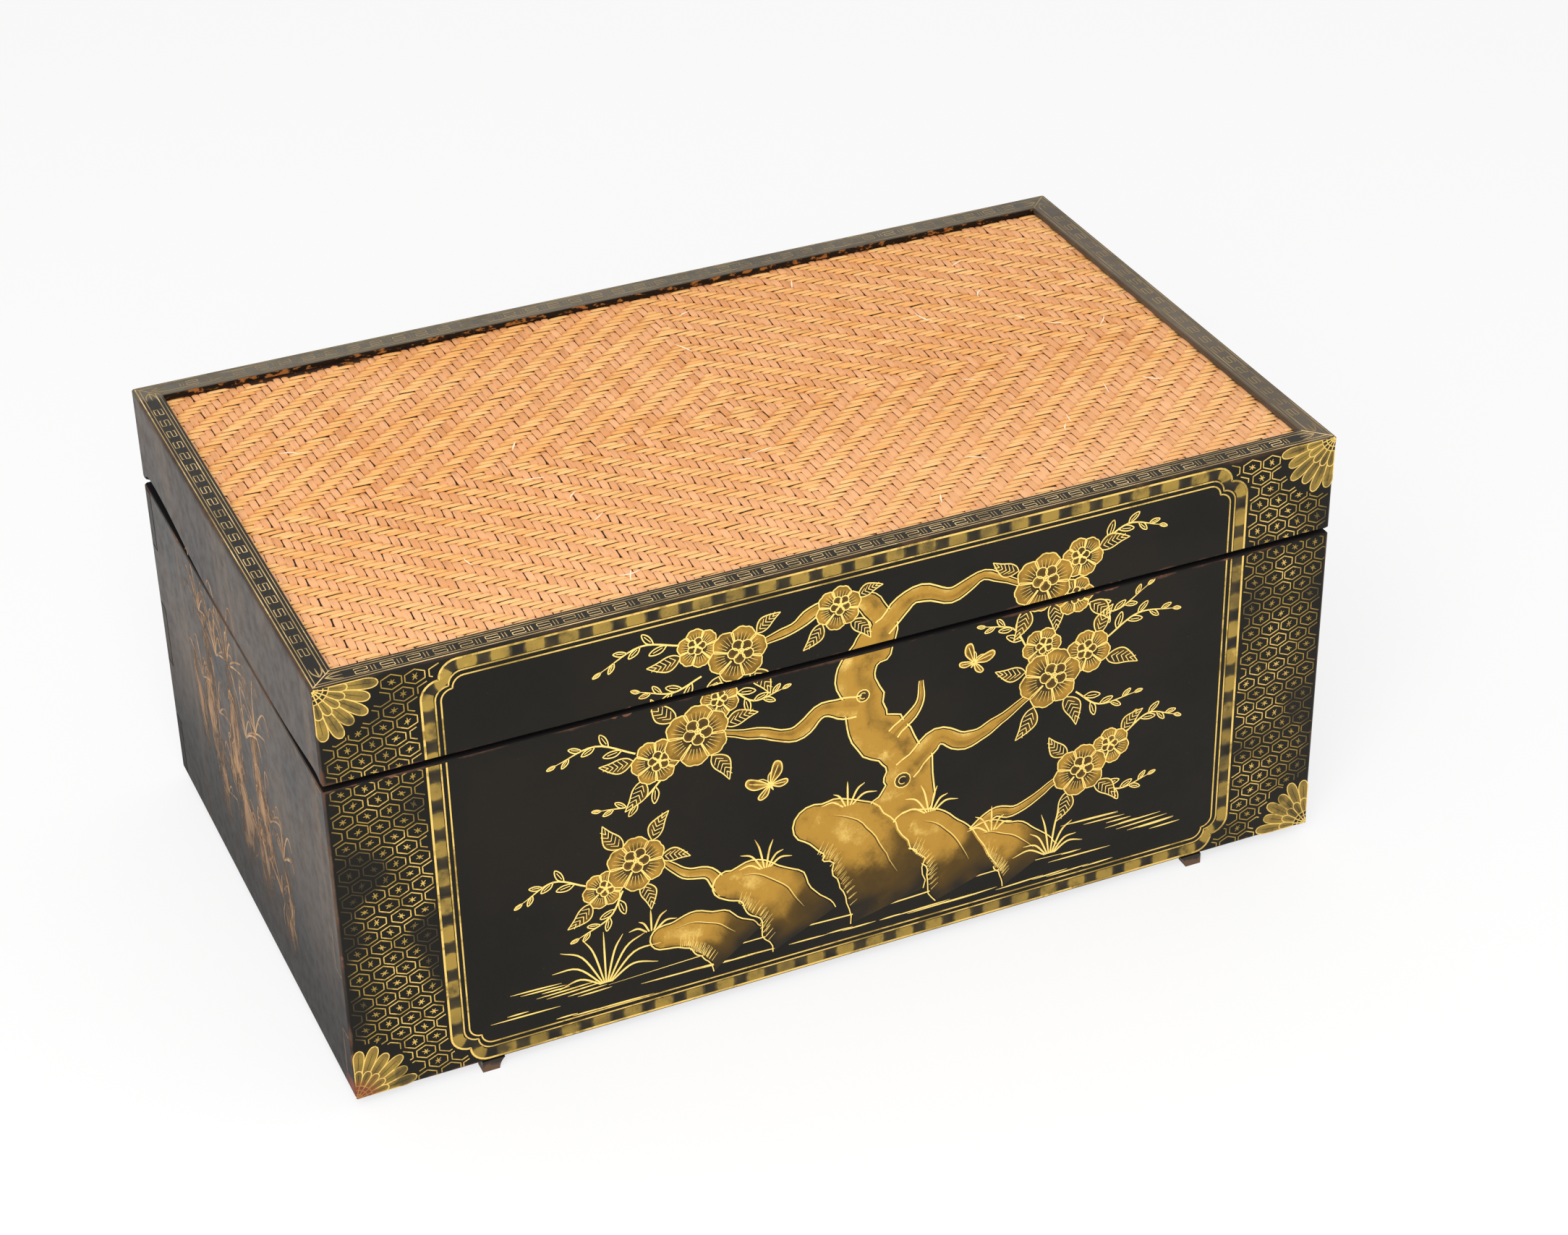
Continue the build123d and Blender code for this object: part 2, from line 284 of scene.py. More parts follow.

# %% [markdown]
# The two ends are more faded and streaky than the front, and darker towards the floor, which is painted
# shade. The rim is a lighter grey at the right and at the back, where torn cane shows under its edge. Both
# are worked out by a point's place, so they fall where they belong, whichever board that is.

# %% Faded ends with painted shade at the floor, and the rim's lighter grey
end_ground = (0.0300, 0.0225, 0.0180)
end_cloud = (0.1000, 0.0660, 0.0420)
end_shade_and_scratches = (0.0090, 0.0070, 0.0060)
end_cool = (0.0260, 0.0290, 0.0290)
end_run = (0.1700, 0.1050, 0.0550)
right_rim_grey = (0.085, 0.066, 0.048), (0.130, 0.102, 0.074)
back_rim_grey = (0.085, 0.075, 0.060), (0.130, 0.114, 0.090)
torn_cane = (0.010, 0.007, 0.005), (0.31, 0.115, 0.026)


def faded_end(f, clouds, fine):
    """The colour of the chest's ends, with painted shade towards the floor, and how high up a point is, from
    0 near the floor to 1.
    """
    streaks = f.step(f.noise(15.0, 5.0, 0.65, (1, 1.0, 0.22)), 0.40, 0.70)
    colour = f.mix(end_ground, end_cloud, clouds * 0.5 + streaks * 0.5)
    colour = f.mix(colour, end_cool, f.step(f.noise(4.5, 3.0), 0.50, 0.66) * 0.7)
    colour = f.mix(colour, end_run, f.step(f.noise(24.0, 3.0, 0.5, (1, 1, 0.07)), 0.58, 0.70) * 0.45)
    # Painted shade: the ends darken towards the floor; the same dark colour also marks the scratches.
    height = f.step(f.parts()[2] + fine * 0.06, 0.05, 0.24)
    colour = f.mix(end_shade_and_scratches, colour, height * 0.85 + 0.15)
    scratches = f.step(f.noise(38.0, 3.0, 0.5, (1.0, 0.5, 1.7)), 0.70, 0.72)
    return f.mix(colour, end_shade_and_scratches, scratches * 0.6), height


def greyed_rim(f, colour, clouds):
    """The rim's colour, lighter grey at the right and at the back, and with torn cane under the inner edge of
    its back side.
    """
    x, y, z = f.parts()
    at_back = f.step(y, rim_edge - 0.008, rim_edge + 0.002)
    at_right = f.step(x, half_length - rim_width - 0.006, half_length - rim_width + 0.002)
    # The rim turns a lighter grey at the right and at the back.
    colour = f.mix(colour, f.mix(*right_rim_grey, clouds), at_right)
    colour = f.mix(colour, f.mix(*back_rim_grey, clouds), at_back)
    on_inner = f.step(f.size_of(y - rim_edge), 0.0006, 0.0003) * f.step(lid_top - z, 0.0004, 0.0010)
    bits = f.step(f.noise(210.0, 4.0, 0.6, (0.5, 1, 1)), 0.52, 0.62)
    return f.mix(colour, f.mix(*torn_cane, bits), on_inner)


print("ends fade from", end_cloud, "to", end_shade_and_scratches)

# %% [markdown]
# One recipe makes every lacquer: soft clouds, rubbed edges and chips, a few specks, the red coat inside and
# painted shade in the seam, matt black. The front, the ends, the back and the rim differ only in colour,
# shine and wear.

# %% Black lacquer
red_ground = (0.21, 0.052, 0.022)
speck_grey = (0.12, 0.10, 0.08)
seam_shade_black = (0.004, 0.003, 0.003)


def lacquer(name, ground, cloud, worn, shine, dull, wear=1.0, board=along_length, lined=1.0):
    """Black lacquer: ground and cloud colours, the colour it wears to, and its roughness from shine to dull.

    On a lined board the inner face shows its grain, and what faces the seam is painted shade, matt and black."""
    f = Finish(name)
    # Clouds over the ground, and the faded ends.
    on_end = f.step(f.size_of(f.parts()[0]), half_length - 0.0024, half_length - 0.0012)
    fine = f.noise(90.0, 5.0, 0.65)
    clouds = f.step(f.noise(7.0, 5.0, 0.6), 0.36, 0.68)
    faded, height = faded_end(f, clouds, fine)
    colour = f.mix(f.mix(ground, cloud, clouds), faded, on_end)
    # Wear: rubbed edges, chips, the knocked corner and specks.
    edge = edge_distance(f)
    rubbed = f.step(f.noise(24.0, 4.0, 0.6) * 0.012 - edge, 0.0038, 0.0062) * wear
    chips = f.step(f.noise(48.0, 3.0, 0.5) * 0.022 - edge, 0.0124, 0.0130) * wear
    colour = f.mix(colour, worn, f.larger(rubbed * 0.5, chips))
    colour = f.mix(colour, red_ground, corner_wear(f) * 0.85)
    colour = f.mix(colour, speck_grey, f.step(f.noise(420.0, 2.0), 0.74, 0.80) * 0.35)
    # The red coat inside, painted shade in the seam, and the rim's lighter grey.
    depth = f.smaller(*wall_distances(f))
    inside = f.step(depth, wall - 0.002, wall - 0.001) * lined
    colour = f.mix(colour, grain(f, red_dark, red_light, board)[0], inside)
    # Painted shade: faces inside the open seam are made matt black, standing for the shade in the gap.
    near_seam = 1 - f.step(seam_distance(f), 0.0008, 0.0014)
    seam_shade = f.step(depth, 0.0006, 0.0011) * near_seam * (1 - inside) * lined
    colour = f.mix(colour, seam_shade_black, seam_shade)
    if not lined:
        colour = greyed_rim(f, colour, clouds)
    # Shine, and the soft waves of a surface polished by hand.
    rough = shine + (dull - shine) * f.step(fine, 0.35, 0.75) + rubbed * 0.25
    rough = rough + on_end * (0.33 - height * 0.14) + seam_shade * 0.6
    ripple = f.noise(16.0, 2.0) * 0.6 + fine * 0.12 - chips * 0.5
    normal = f.bump(ripple, 0.0006, 0.35)
    return f.set(Base_Color=colour, Roughness=rough, Normal=normal, Specular_IOR_Level=0.14)


deep_black = (0.0075, 0.0062, 0.0040), (0.0115, 0.0090, 0.0058)
grey_black = (0.0095, 0.0080, 0.0070), (0.0150, 0.0115, 0.0090)
warm_black = (0.0095, 0.0073, 0.0048), (0.0170, 0.0130, 0.0080)
black_front = lacquer("front_lacquer", *deep_black, (0.150, 0.065, 0.036), 0.20, 0.30)
black_end = lacquer("end_lacquer", *deep_black, (0.170, 0.095, 0.060), 0.20, 0.32, board=along_depth)
black_back = lacquer("back_lacquer", *grey_black, (0.120, 0.055, 0.030), 0.28, 0.42)
black_rim = lacquer("rim_lacquer", *warm_black, (0.090, 0.045, 0.024), 0.28, 0.42, wear=0.6, lined=0.0)
print("lacquers:", black_front.name, black_end.name, black_back.name, black_rim.name)

# %% [markdown]
# The lips, linings, panel and bottom have the same red-brown coat, black as painted shade where a lip turns
# its back to the lid's rail and wherever they lie that close to the walls' outside. The runners are bare
# wood, and the bracket feet are lacquered but rubbed brown at the floor.

# %% Wood and brass finishes
bare_dark = (0.085, 0.045, 0.024)
bare_light = (0.200, 0.110, 0.058)
lip_shade_reach = wall + 0.0013
no_lip_shade = -1.0


def grained(name, dark, light, rough, stretch, shade_reach):
    """Wood with its grain along one axis, with painted shade, black, from the walls' outside in to the back
    of a lip.
    """
    f = Finish(name)
    colour, height = grain(f, dark, light, stretch)
    # Painted shade: black from the walls' outside in to the back of a lip, where the wood lies out of the
    # light.
    lip_shade = f.step(shade_reach - f.smaller(*wall_distances(f)), 0.0, 0.0005)
    colour = f.mix(colour, (0.008, 0.006, 0.005), lip_shade)
    normal = f.bump(height, 0.0003, 0.5)
    return f.set(Base_Color=colour, Roughness=rough + height * 0.2, Normal=normal, Specular_IOR_Level=0.3)


def foot_finish():
    """Black lacquer, rubbed to brown wood towards the floor."""
    f = Finish("foot_lacquer")
    black, brown = (0.016, 0.012, 0.009), (0.110, 0.058, 0.030)
    worn = f.step(0.006 - f.parts()[2] + f.noise(160.0, 3.0) * 0.008, 0.002, 0.006)
    return f.set(Base_Color=f.mix(black, brown, worn), Roughness=0.35 + worn * 0.3, Specular_IOR_Level=0.3)


def brass_finish():
    """Aged brass: brown in the hollows of the tarnish, bright where it is rubbed."""
    f = Finish("brass")
    bright, brown = (0.46, 0.30, 0.10), (0.21, 0.125, 0.045)
    tarnish = f.step(f.noise(60.0, 5.0, 0.6), 0.40, 0.70)
    normal = f.bump(f.noise(260.0, 2.0), 0.0002, 0.12)
    return f.set(Base_Color=f.mix(bright, brown, tarnish), Metallic=1.0, Roughness=0.30 + tarnish * 0.25,
                 Normal=normal)


red_inside = grained("inner_lacquer", red_dark, red_light, 0.40, along_length, lip_shade_reach)
bare_wood = grained("bare_wood", bare_dark, bare_light, 0.55, along_depth, no_lip_shade)
foot_black = foot_finish()
old_brass = brass_finish()
print("woods and brass:", red_inside.name, bare_wood.name, foot_black.name, old_brass.name)

# %% [markdown]
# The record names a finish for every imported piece, and each piece now gets its own. The cane mat waits for
# the weave, which takes its place further down.

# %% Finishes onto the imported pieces
finishes = {
    "front_lacquer": black_front, "back_lacquer": black_back, "end_lacquer": black_end,
    "rim_lacquer": black_rim, "inner_lacquer": red_inside, "foot_lacquer": foot_black,
    "bare_wood": bare_wood, "brass": old_brass,
}
for row in frame["record"]["subparts"]:
    finish = finishes.get(row["material_slot"])
    if finish:
        mesh = frame["nodes"][row["node"]].data
        mesh.materials.clear()
        mesh.materials.append(finish)
print("finished slots:", sorted(finishes))

# %% [markdown]
# ## Gold
# Gold on lacquer is laid in two ways: thin raised lines drawn with a fine brush, and soft washes of gold
# dust that fade into the black. Both are made as hair-thin relief on the face, so that they are real shapes.
# Each point carries a number from 0 to 1, its share of gold, and the finish turns that into colour.

# %% Gold finish
red_under_gold = (0.22, 0.058, 0.024)


def gold_finish(name, rubbed_share, dark, mid, rich, full, see_through=False):
    """Gold that fades to the lacquer below by the point's share of gold, and is rubbed through in places."""
    f = Finish(name)
    share = f.attribute("gold_share")
    if see_through:
        rubbed = f.step(f.noise(60.0, 6.0, 0.75, (1, 1, 0.4)), 0.40, 0.62) * rubbed_share
    else:
        rubbed = f.step(f.noise(45.0, 5.0, 0.7), 0.48, 0.70) * rubbed_share
    mottle = f.noise(520.0, 3.0, 0.7) - 0.5
    amount = share * (1 - rubbed) + mottle * 0.22 * share
    colour = f.mix(dark, mid, f.step(amount, 0.02, 0.36))
    colour = f.mix(colour, rich, f.step(amount, 0.32, 0.66))
    colour = f.mix(colour, full, f.step(amount, 0.68, 0.96))
    colour = f.mix(colour, red_under_gold, corner_wear(f) * 0.8)
    rough = 0.50 - f.step(amount, 0.3, 0.9) * 0.10
    if see_through:
        f.set(Alpha=f.step(amount, 0.02, 0.38) * 0.95)
    return f.set(Base_Color=colour, Metallic=f.step(amount, 0.2, 0.9) * 0.20, Roughness=rough,
                 Specular_IOR_Level=0.16)


bright_gold = gold_finish("front_gold", rubbed_share=0.18, dark=(0.010, 0.009, 0.007),
                          mid=(0.080, 0.043, 0.006), rich=(0.44, 0.237, 0.033), full=(1.0, 0.71, 0.20))
border_gold = gold_finish("border_gold", rubbed_share=0.30, dark=(0.012, 0.010, 0.007),
                          mid=(0.070, 0.050, 0.018), rich=(0.34, 0.220, 0.042), full=(0.86, 0.58, 0.15))
rim_gold = gold_finish("rim_gold", rubbed_share=0.32, dark=(0.022, 0.017, 0.011),
                       mid=(0.130, 0.092, 0.042), rich=(0.41, 0.278, 0.110), full=(0.93, 0.65, 0.29))
faded_gold = gold_finish("end_gold", rubbed_share=0.76, dark=(0.165, 0.090, 0.044), mid=(0.250, 0.135, 0.056),
                         rich=(0.42, 0.215, 0.074), full=(0.62, 0.38, 0.16), see_through=True)
print("golds:", bright_gold.name, border_gold.name, rim_gold.name, faded_gold.name)

# %% [markdown]
# A piece made here is a mesh of points and faces, and its points can carry numbers for the finish to read.
# Whatever is done to a mesh afterwards, such as turning its faces outwards or cutting it, is done with the
# same tools as by hand: select the piece, go into edit mode, use the tool, come back.

# %% Making pieces
def select_only(piece):
    """Make a piece the only one that the next tool works on."""
    bpy.ops.object.select_all(action="DESELECT")
    bpy.context.view_layer.objects.active = piece
    piece.select_set(True)


def edit(piece, tool, **settings):
    """Use one tool of edit mode on the whole of a piece."""
    select_only(piece)
    bpy.ops.object.mode_set(mode="EDIT")
    bpy.ops.mesh.select_all(action="SELECT")
    tool(**settings)
    bpy.ops.object.mode_set(mode="OBJECT")


def new_piece(name, points, faces, finish, **numbers):
    """A mesh with its faces turned outwards, a finish, and named numbers at its points."""
    mesh = bpy.data.meshes.new(name)
    mesh.from_pydata(np.array(points).tolist(), [], faces)
    for key, values in numbers.items():
        mesh.attributes.new(key, "FLOAT", "POINT").data.foreach_set("value", values)
    mesh.materials.append(finish)
    piece = bpy.data.objects.new(name, mesh)
    bpy.context.scene.collection.objects.link(piece)
    edit(piece, bpy.ops.mesh.normals_make_consistent, inside=False)
    return piece


print("ready to make pieces beside the packed ones:", len(frame["nodes"]))

# %% [markdown]
# A brush line is a path with a width, and a wash is the space between two paths. `Gilding` gathers both for
# one face and makes them into one mesh. The points are worked out by formulas here, because hundreds of
# brush lines can't be dragged by hand one by one. What is painted later lies a hair higher, so it covers
# what is below. Hand work is never quite even, and `drift` gives it slow, smooth variation.

# %% Brush lines and washes
# Heights in mm: from one layer of paint to the next, of a wash, of a line, of one stroke over another in the
# same layer, and how far each reaches into the board.
LAYER = 0.06
WASH_LIFT = 0.02
LINE_LIFT = 0.05
STAGGER = 0.02
SUNK = 0.05
# Steps of the golden section never fall on the same place twice.
GOLDEN = 0.618


def drift(u, v, size, seed):
    """Smooth variation about zero, in patches of about that size."""
    return noise.noise(Vector((u / size, v / size, seed)))


def drifts(path, size, seed):
    """That variation at each point of a path."""
    return np.array([drift(u, v, size, seed) for u, v in path])


class Gilding:
    """All the gold on one face; place turns points in mm on that face, and a lift, into the chest's frame."""

    def __init__(self, place):
        self.place = place
        self.layer = 0
        self.strokes = 0
        self.points = []
        self.faces = []
        self.shares = []

    def slab(self, rows, shares, lift, closed):
        """A thin slab under rows of points, which run from one side of a line or a wash to the other."""
        count, across = rows.shape[:2]
        around = 2 * across
        start = len(self.points)
        self.strokes += 1
        lift += LAYER * self.layer + STAGGER * (self.strokes * GOLDEN % 1.0)
        top, under = self.place(rows, lift), self.place(rows, -SUNK)
        shares = np.broadcast_to(shares, (count, across))
        self.points += list(np.hstack([top, under[:, ::-1]]).reshape(-1, 3))
        self.shares += list(np.hstack([shares, shares[:, ::-1]]).ravel())

        def at(i, j):
            return start + i % count * around + j % around

        for i in range(count if closed else count - 1):
            self.faces += [(at(i, j), at(i, j + 1), at(i + 1, j + 1), at(i + 1, j)) for j in range(around)]
        for i in () if closed else (0, count - 1):
            self.faces += [(at(i, j), at(i, j + 1), at(i, -j - 2), at(i, -j - 1)) for j in range(across - 1)]

    def line(self, path, width, share=1.0, taper=0.0, closed=False):
        """A brush line; taper thins both ends, or with a pair the first and the last end."""
        path = np.array(path, float)
        ahead = np.roll(path, -1, 0) if closed else np.vstack([path[1:], path[-1:]])
        behind = np.roll(path, 1, 0) if closed else np.vstack([path[:1], path[:-1]])
        along = ahead - behind
        along /= np.maximum(np.linalg.norm(along, axis=1, keepdims=True), 1e-9)
        side = np.stack([-along[:, 1], along[:, 0]], 1)
        t = np.linspace(0, 1, len(path))[:, None]
        first, last = taper if isinstance(taper, tuple) else (taper, taper)
        half = width / 2 * (1 - first * (1 - t) ** 3) * (1 - last * t ** 3)
        share = np.array(share, float)
        if share.ndim:
            share = share[:, None]
        self.slab(np.stack([path + side * half, path - side * half], 1), share, LINE_LIFT, closed)

    def wash(self, one_side, other_side, shares, steps=4, closed=False):
        """Gold dust between two paths with as many points; shares run from the one side to the other."""
        t = np.linspace(0, 1, steps + 1)
        rows = np.array(one_side)[:, None] * (1 - t)[:, None] + np.array(other_side)[:, None] * t[:, None]
        shares = np.array(shares, float)
        if shares.ndim == 1:
            shares = np.interp(t, np.linspace(0, 1, len(shares)), shares)
        cloud = 0.16 * np.array([drifts(row, 14, 3.1) for row in rows])
        self.slab(rows, np.clip(shares + cloud, 0, 1), WASH_LIFT, closed)

    def make(self, name, finish):
        """The gathered gold as one piece."""
        return new_piece(name, self.points, self.faces, finish, gold_share=self.shares)


print("a gold line stands", LINE_LIFT, "mm proud, and layers are", LAYER, "mm apart")

# %% [markdown]
# The front's ornament runs across the seam, so its gold is cut in two there: one part stays with the chest,
# the other opens with the lid. Both stop a little short of the seam's rubbed edges.

# %% Cutting gold at the seam
EASED = 1.9 * MM


def part_at_seam(piece, name):
    """Cut gold that crosses the seam in two: one piece rides on the chest, the other on the lid."""
    select_only(piece)
    bpy.ops.object.duplicate()
    upper = bpy.context.object
    for half, body, level in ((piece, "chest", seam_low - EASED), (upper, "lid", seam_high + EASED)):
        half.name = f"{name}_{body}"
        edit(half, bpy.ops.mesh.bisect, plane_co=(0, 0, level), plane_no=(0, 0, 1), use_fill=True,
             clear_inner=half == upper, clear_outer=half == piece)
        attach(half, body)
        print(half.name, len(half.data.polygons), "faces")


print("gold stops", EASED / MM, "mm from the seam")

# %% [markdown]
# The motifs are drawn flat, in millimetres, from arcs and smooth curves. A face of the chest is given by one
# of its points and the two directions in which a painter would move across it and up it.

# %% Paths
def arc(centre, radius, start, end, count=8):
    """Points on a circle's arc, in degrees."""
    turn = np.radians(np.linspace(start, end, count))
    return np.stack([centre[0] + radius * np.cos(turn), centre[1] + radius * np.sin(turn)], 1)


def curve(points, steps=5):
    """A smooth curve through the points."""
    p = np.array(points, float)
    p = np.vstack([2 * p[0] - p[1], p, 2 * p[-1] - p[-2]])
    made = []
    for i in range(1, len(p) - 2):
        for t in np.linspace(0, 1, steps, endpoint=False):
            a = 2 * p[i]
            b = p[i + 1] - p[i - 1]
            c = 2 * p[i - 1] - 5 * p[i] + 4 * p[i + 1] - p[i + 2]
            d = 3 * p[i] - p[i - 1] - 3 * p[i + 1] + p[i + 2]
            made.append(0.5 * (a + b * t + c * t ** 2 + d * t ** 3))
    return np.array(made + [p[-2]])


def turned(path, angle, at, size=1.0):
    """A path scaled, turned by degrees and moved."""
    a = math.radians(angle)
    spin = np.array([[math.cos(a), math.sin(a)], [-math.sin(a), math.cos(a)]])
    return np.array(path, float) * size @ spin + np.array(at, float)


def drawn_in(path, centre, share):
    """A path shrunk towards a centre to some share of its size."""
    return np.array(path) * share + np.array(centre) * (1 - share)


def on_face(origin, across, up):
    """For a flat face, the function that turns points (across, up) in mm, and a lift, into the frame."""
    across, up = np.array(across), np.array(up)
    out = np.cross(across, up)

    def place(points, lift):
        return np.array(origin) + (points[..., :1] * across + points[..., 1:] * up + lift * out) * MM
    return place


on_front = on_face((0, front_face, body_low), (1, 0, 0), (0, 0, 1))
on_left = on_face((-half_length, middle_y, body_low), (0, -1, 0), (0, 0, 1))
on_right = on_face((half_length, middle_y, body_low), (0, 1, 0), (0, 0, 1))
print("painted faces: front, left end and right end")

# %% [markdown]
# ## The front's border
# A cusped frame runs round the picture: a gold line, a strip of gold and black blotches, and two finer lines.
# Each line is the same outline, set further in. At its corners two quarter circles meet in a point.

# %% Cusped frame
frame_inset = 79.0
frame_margin = 2.2
cusp_radius = 15.0
cusp_shrink_share = 0.35
strip_inset = 1.9
strip_width = 8.5
# Each line's inset, width and share of gold.
frame_lines = (0.9, 1.7, 0.92), (11.6, 1.2, 0.88), (16.0, 1.2, 0.90)
blotch_pitch = 26.5
rubbed_height = 150.0
rubbed_spread = 70.0


def cusped(inset, spacing=6.0):
    """The frame's outline, set in by some millimetres, as a closed path, and each point's place along it."""
    left, low = -half_u + frame_inset + inset, frame_margin + inset
    right, high = -left, face_height - low
    r = cusp_radius - cusp_shrink_share * inset
    path = []
    for cu, cv, turn in ((left, low, 180), (right, low, 270), (right, high, 0), (left, high, 90)):
        inward = turned([(1, 1)], turn - 180, (0, 0))[0]
        first, second = ((1, 2), (2, 1)) if turn in (180, 0) else ((2, 1), (1, 2))
        for centre in (first, second):
            middle = (cu + inward[0] * r * centre[0], cv + inward[1] * r * centre[1])
            path.append(arc(middle, r, turn, turn + 90, 7))
    path = np.vstack(path)
    path = np.vstack([path, path[:1]])
    steps = np.r_[0, np.cumsum(np.linalg.norm(np.diff(path, axis=0), axis=1))]
    places = [0.0]
    for a, b in zip(steps[:-1], steps[1:]):
        places += list(np.linspace(a, b, max(1, math.ceil((b - a) / spacing)) + 1)[1:])
    places = np.array(places[:-1])
    return np.stack([np.interp(places, steps, path[:, k]) for k in (0, 1)], 1), places


def worn_share(u, v, full, low):
    """Gold is rubbed off in patches, most of all near the ends of the chest and half way up its left end."""
    handled = math.exp(-((v - rubbed_height) / rubbed_spread) ** 2) if u < 0 else 0.0
    patch = max(0.0, drift(u, v, 45, 7.7) + 0.22 * handled)
    near_end = max(0.0, 1 - (half_u - abs(u)) / 35)
    low *= 0.6 if u < 0 else 1.2
    return max(low, full * (1 - (0.8 + 2.2 * handled) * patch - 0.5 * near_end))


border = Gilding(on_front)
for inset, width, share in frame_lines:
    path, _ = cusped(inset)
    border.line(path, width, share - 0.3 * np.maximum(0.0, drifts(path, 50, 4.4)), closed=True)

strip_edge, strip_place = cusped(strip_inset, 1.8)
ahead = np.roll(strip_edge, -1, 0) - np.roll(strip_edge, 1, 0)
inward = np.stack([-ahead[:, 1], ahead[:, 0]], 1) / np.linalg.norm(ahead, axis=1, keepdims=True)
bulge = np.array([0.20, 0.32, 0.38, 0.32, 0.20])
wave = np.sin(2 * np.pi * strip_place / blotch_pitch)[:, None] + bulge
dim = 0.92 + 0.35 * drifts(strip_edge, 60, 1.3)[:, None]
strip_shares = 0.13 + 0.50 * dim * (0.5 + 0.5 * np.tanh(6.0 * wave))
border.wash(strip_edge, strip_edge + inward * strip_width, strip_shares, 4, closed=True)
print("frame outline:", len(strip_edge), "points")

# %% [markdown]
# Beyond the frame, both ends of the front carry a honeycomb with a small star in each cell. Cells that meet
# the frame or the flowers in the corners stop there, so each cell is drawn in short stretches, and only those
# on free ground are kept. A hand drew them, so no two are quite alike.

# %% Honeycomb and stars
cell_pitch = 18.3
cell_row = 12.2
cell_half_width = 7.6
cell_half_height = 6.3
cell_half_side = 2.9
cell_line = 0.92
cell_columns = 6
first_cell = (4.0, 3.0)
wobble_size = 1 / 0.37
flower_radius = 50.0


def in_frame(u, v, margin=1.6):
    """True inside the cusped frame, a little margin included."""
    p = (half_u - frame_inset) + margin - abs(u)
    q = min(v, face_height - v) - frame_margin + margin
    if p < 0 or q < 0:
        return False
    r = cusp_radius
    if p < r:
        return q > 2 * r - math.sqrt(max(0.0, r * r - (r - p) ** 2))
    if p < 2 * r:
        return q > r - math.sqrt(max(0.0, r * r - (2 * r - p) ** 2))
    return True


def on_honeycomb(u, v):
    """True on the free ground at the ends of the front."""
    corner = math.hypot(half_u - abs(u), min(v, face_height - v))
    inside = abs(u) < half_u - 1.8 and 1.6 < v < face_height - 1.6
    return inside and corner > flower_radius + 1.0 and not in_frame(u, v)


def cell_lines(gold, u, v, size):
    """One cell's outline, left out where the ground isn't free."""
    w, h, e = cell_half_width * size, cell_half_height * size, cell_half_side * size
    corners = [(0, h), (w, e), (w, -e), (0, -h), (-w, -e), (-w, e)]
    outline = []
    for a, b in zip(corners, corners[1:] + corners[:1]):
        for t in (0, 1 / 3, 2 / 3):
            outline.append((u + a[0] + (b[0] - a[0]) * t, v + a[1] + (b[1] - a[1]) * t))
    free = [on_honeycomb(*point) for point in outline]
    shares = [worn_share(*point, 0.86, 0.34) for point in outline]
    if all(free):
        gold.line(outline, cell_line, shares, closed=True)
        return
    start = free.index(False)
    run = []
    for k in range(start, start + len(outline) + 1):
        k %= len(outline)
        if free[k]:
            run.append(k)
            continue
        if len(run) > 1:
            gold.line([outline[i] for i in run], cell_line, [shares[i] for i in run])
        run = []


def star(gold, u, v, size, spin, share, rays=6):
    """A few short dabs that cross in the middle of a cell."""
    for k in range(rays):
        a = math.radians(spin + 360 * k / rays)
        reach = size * (0.7 + 0.6 * abs(math.sin(spin + 2.1 * k)))
        tip = (u + reach * math.cos(a), v + reach * math.sin(a))
        gold.line([(u, v), tip], 1.1, share, taper=(0.0, 0.6))


cells = 0
for side in (-1, 1):
    for row in range(int(face_height / cell_row) + 2):
        for column in range(cell_columns):
            u = side * (half_u - first_cell[0] - (column + 0.5 * (row % 2)) * cell_pitch)
            v = first_cell[1] + row * cell_row
            wobble = drift(u, v, wobble_size, 0.5)
            if any(on_honeycomb(u + a, v + b) for a in (-5, 0, 5) for b in (-4, 0, 4)):
                cell_lines(border, u + 1.1 * wobble, v + 0.6 * wobble, 1 + 0.07 * wobble)
                cells += 1
                if all(on_honeycomb(u + a, v + b) for a in (-3, 3) for b in (-3, 3)):
                    star(border, u + 1.6 * wobble, v, 2.6, 90 * wobble, worn_share(u, v, 0.84, 0.36))
print("honeycomb cells:", cells)

# %% [markdown]
# A quarter of a chrysanthemum sits in each corner. It is drawn once, as two rows of long petals round a
# ringed heart whose middle is the corner itself, and flipped for the other corners.

# %% Corner chrysanthemums
def petal(gold, corner, flip, angle, near, far, half_width, fill):
    """One long petal with a rounded tip, pointing away from the corner."""
    length = far - near
    upper = curve([(near, 0.35 * half_width), (near + 0.45 * length, 0.9 * half_width),
                   (near + 0.78 * length, half_width), (far - 0.05 * length, 0.62 * half_width), (far, 0)], 4)
    both = np.vstack([upper, (upper * (1, -1))[::-1][1:]])
    place = [turned(path, angle, (0, 0)) for path in (upper, upper * (1, -1), both)]
    place = [np.maximum(path, 0.7) * flip + corner for path in place]
    gold.wash(place[0], place[1], (fill, fill * 0.9, fill))
    gold.line(place[2], 1.0, 0.90, taper=0.4)
    vein = np.maximum(turned([(near + 2, 0), (near + 0.8 * length, 0)], angle, (0, 0)), 0.7)
    gold.line(vein * flip + corner, 0.7, 0.12, taper=0.5)


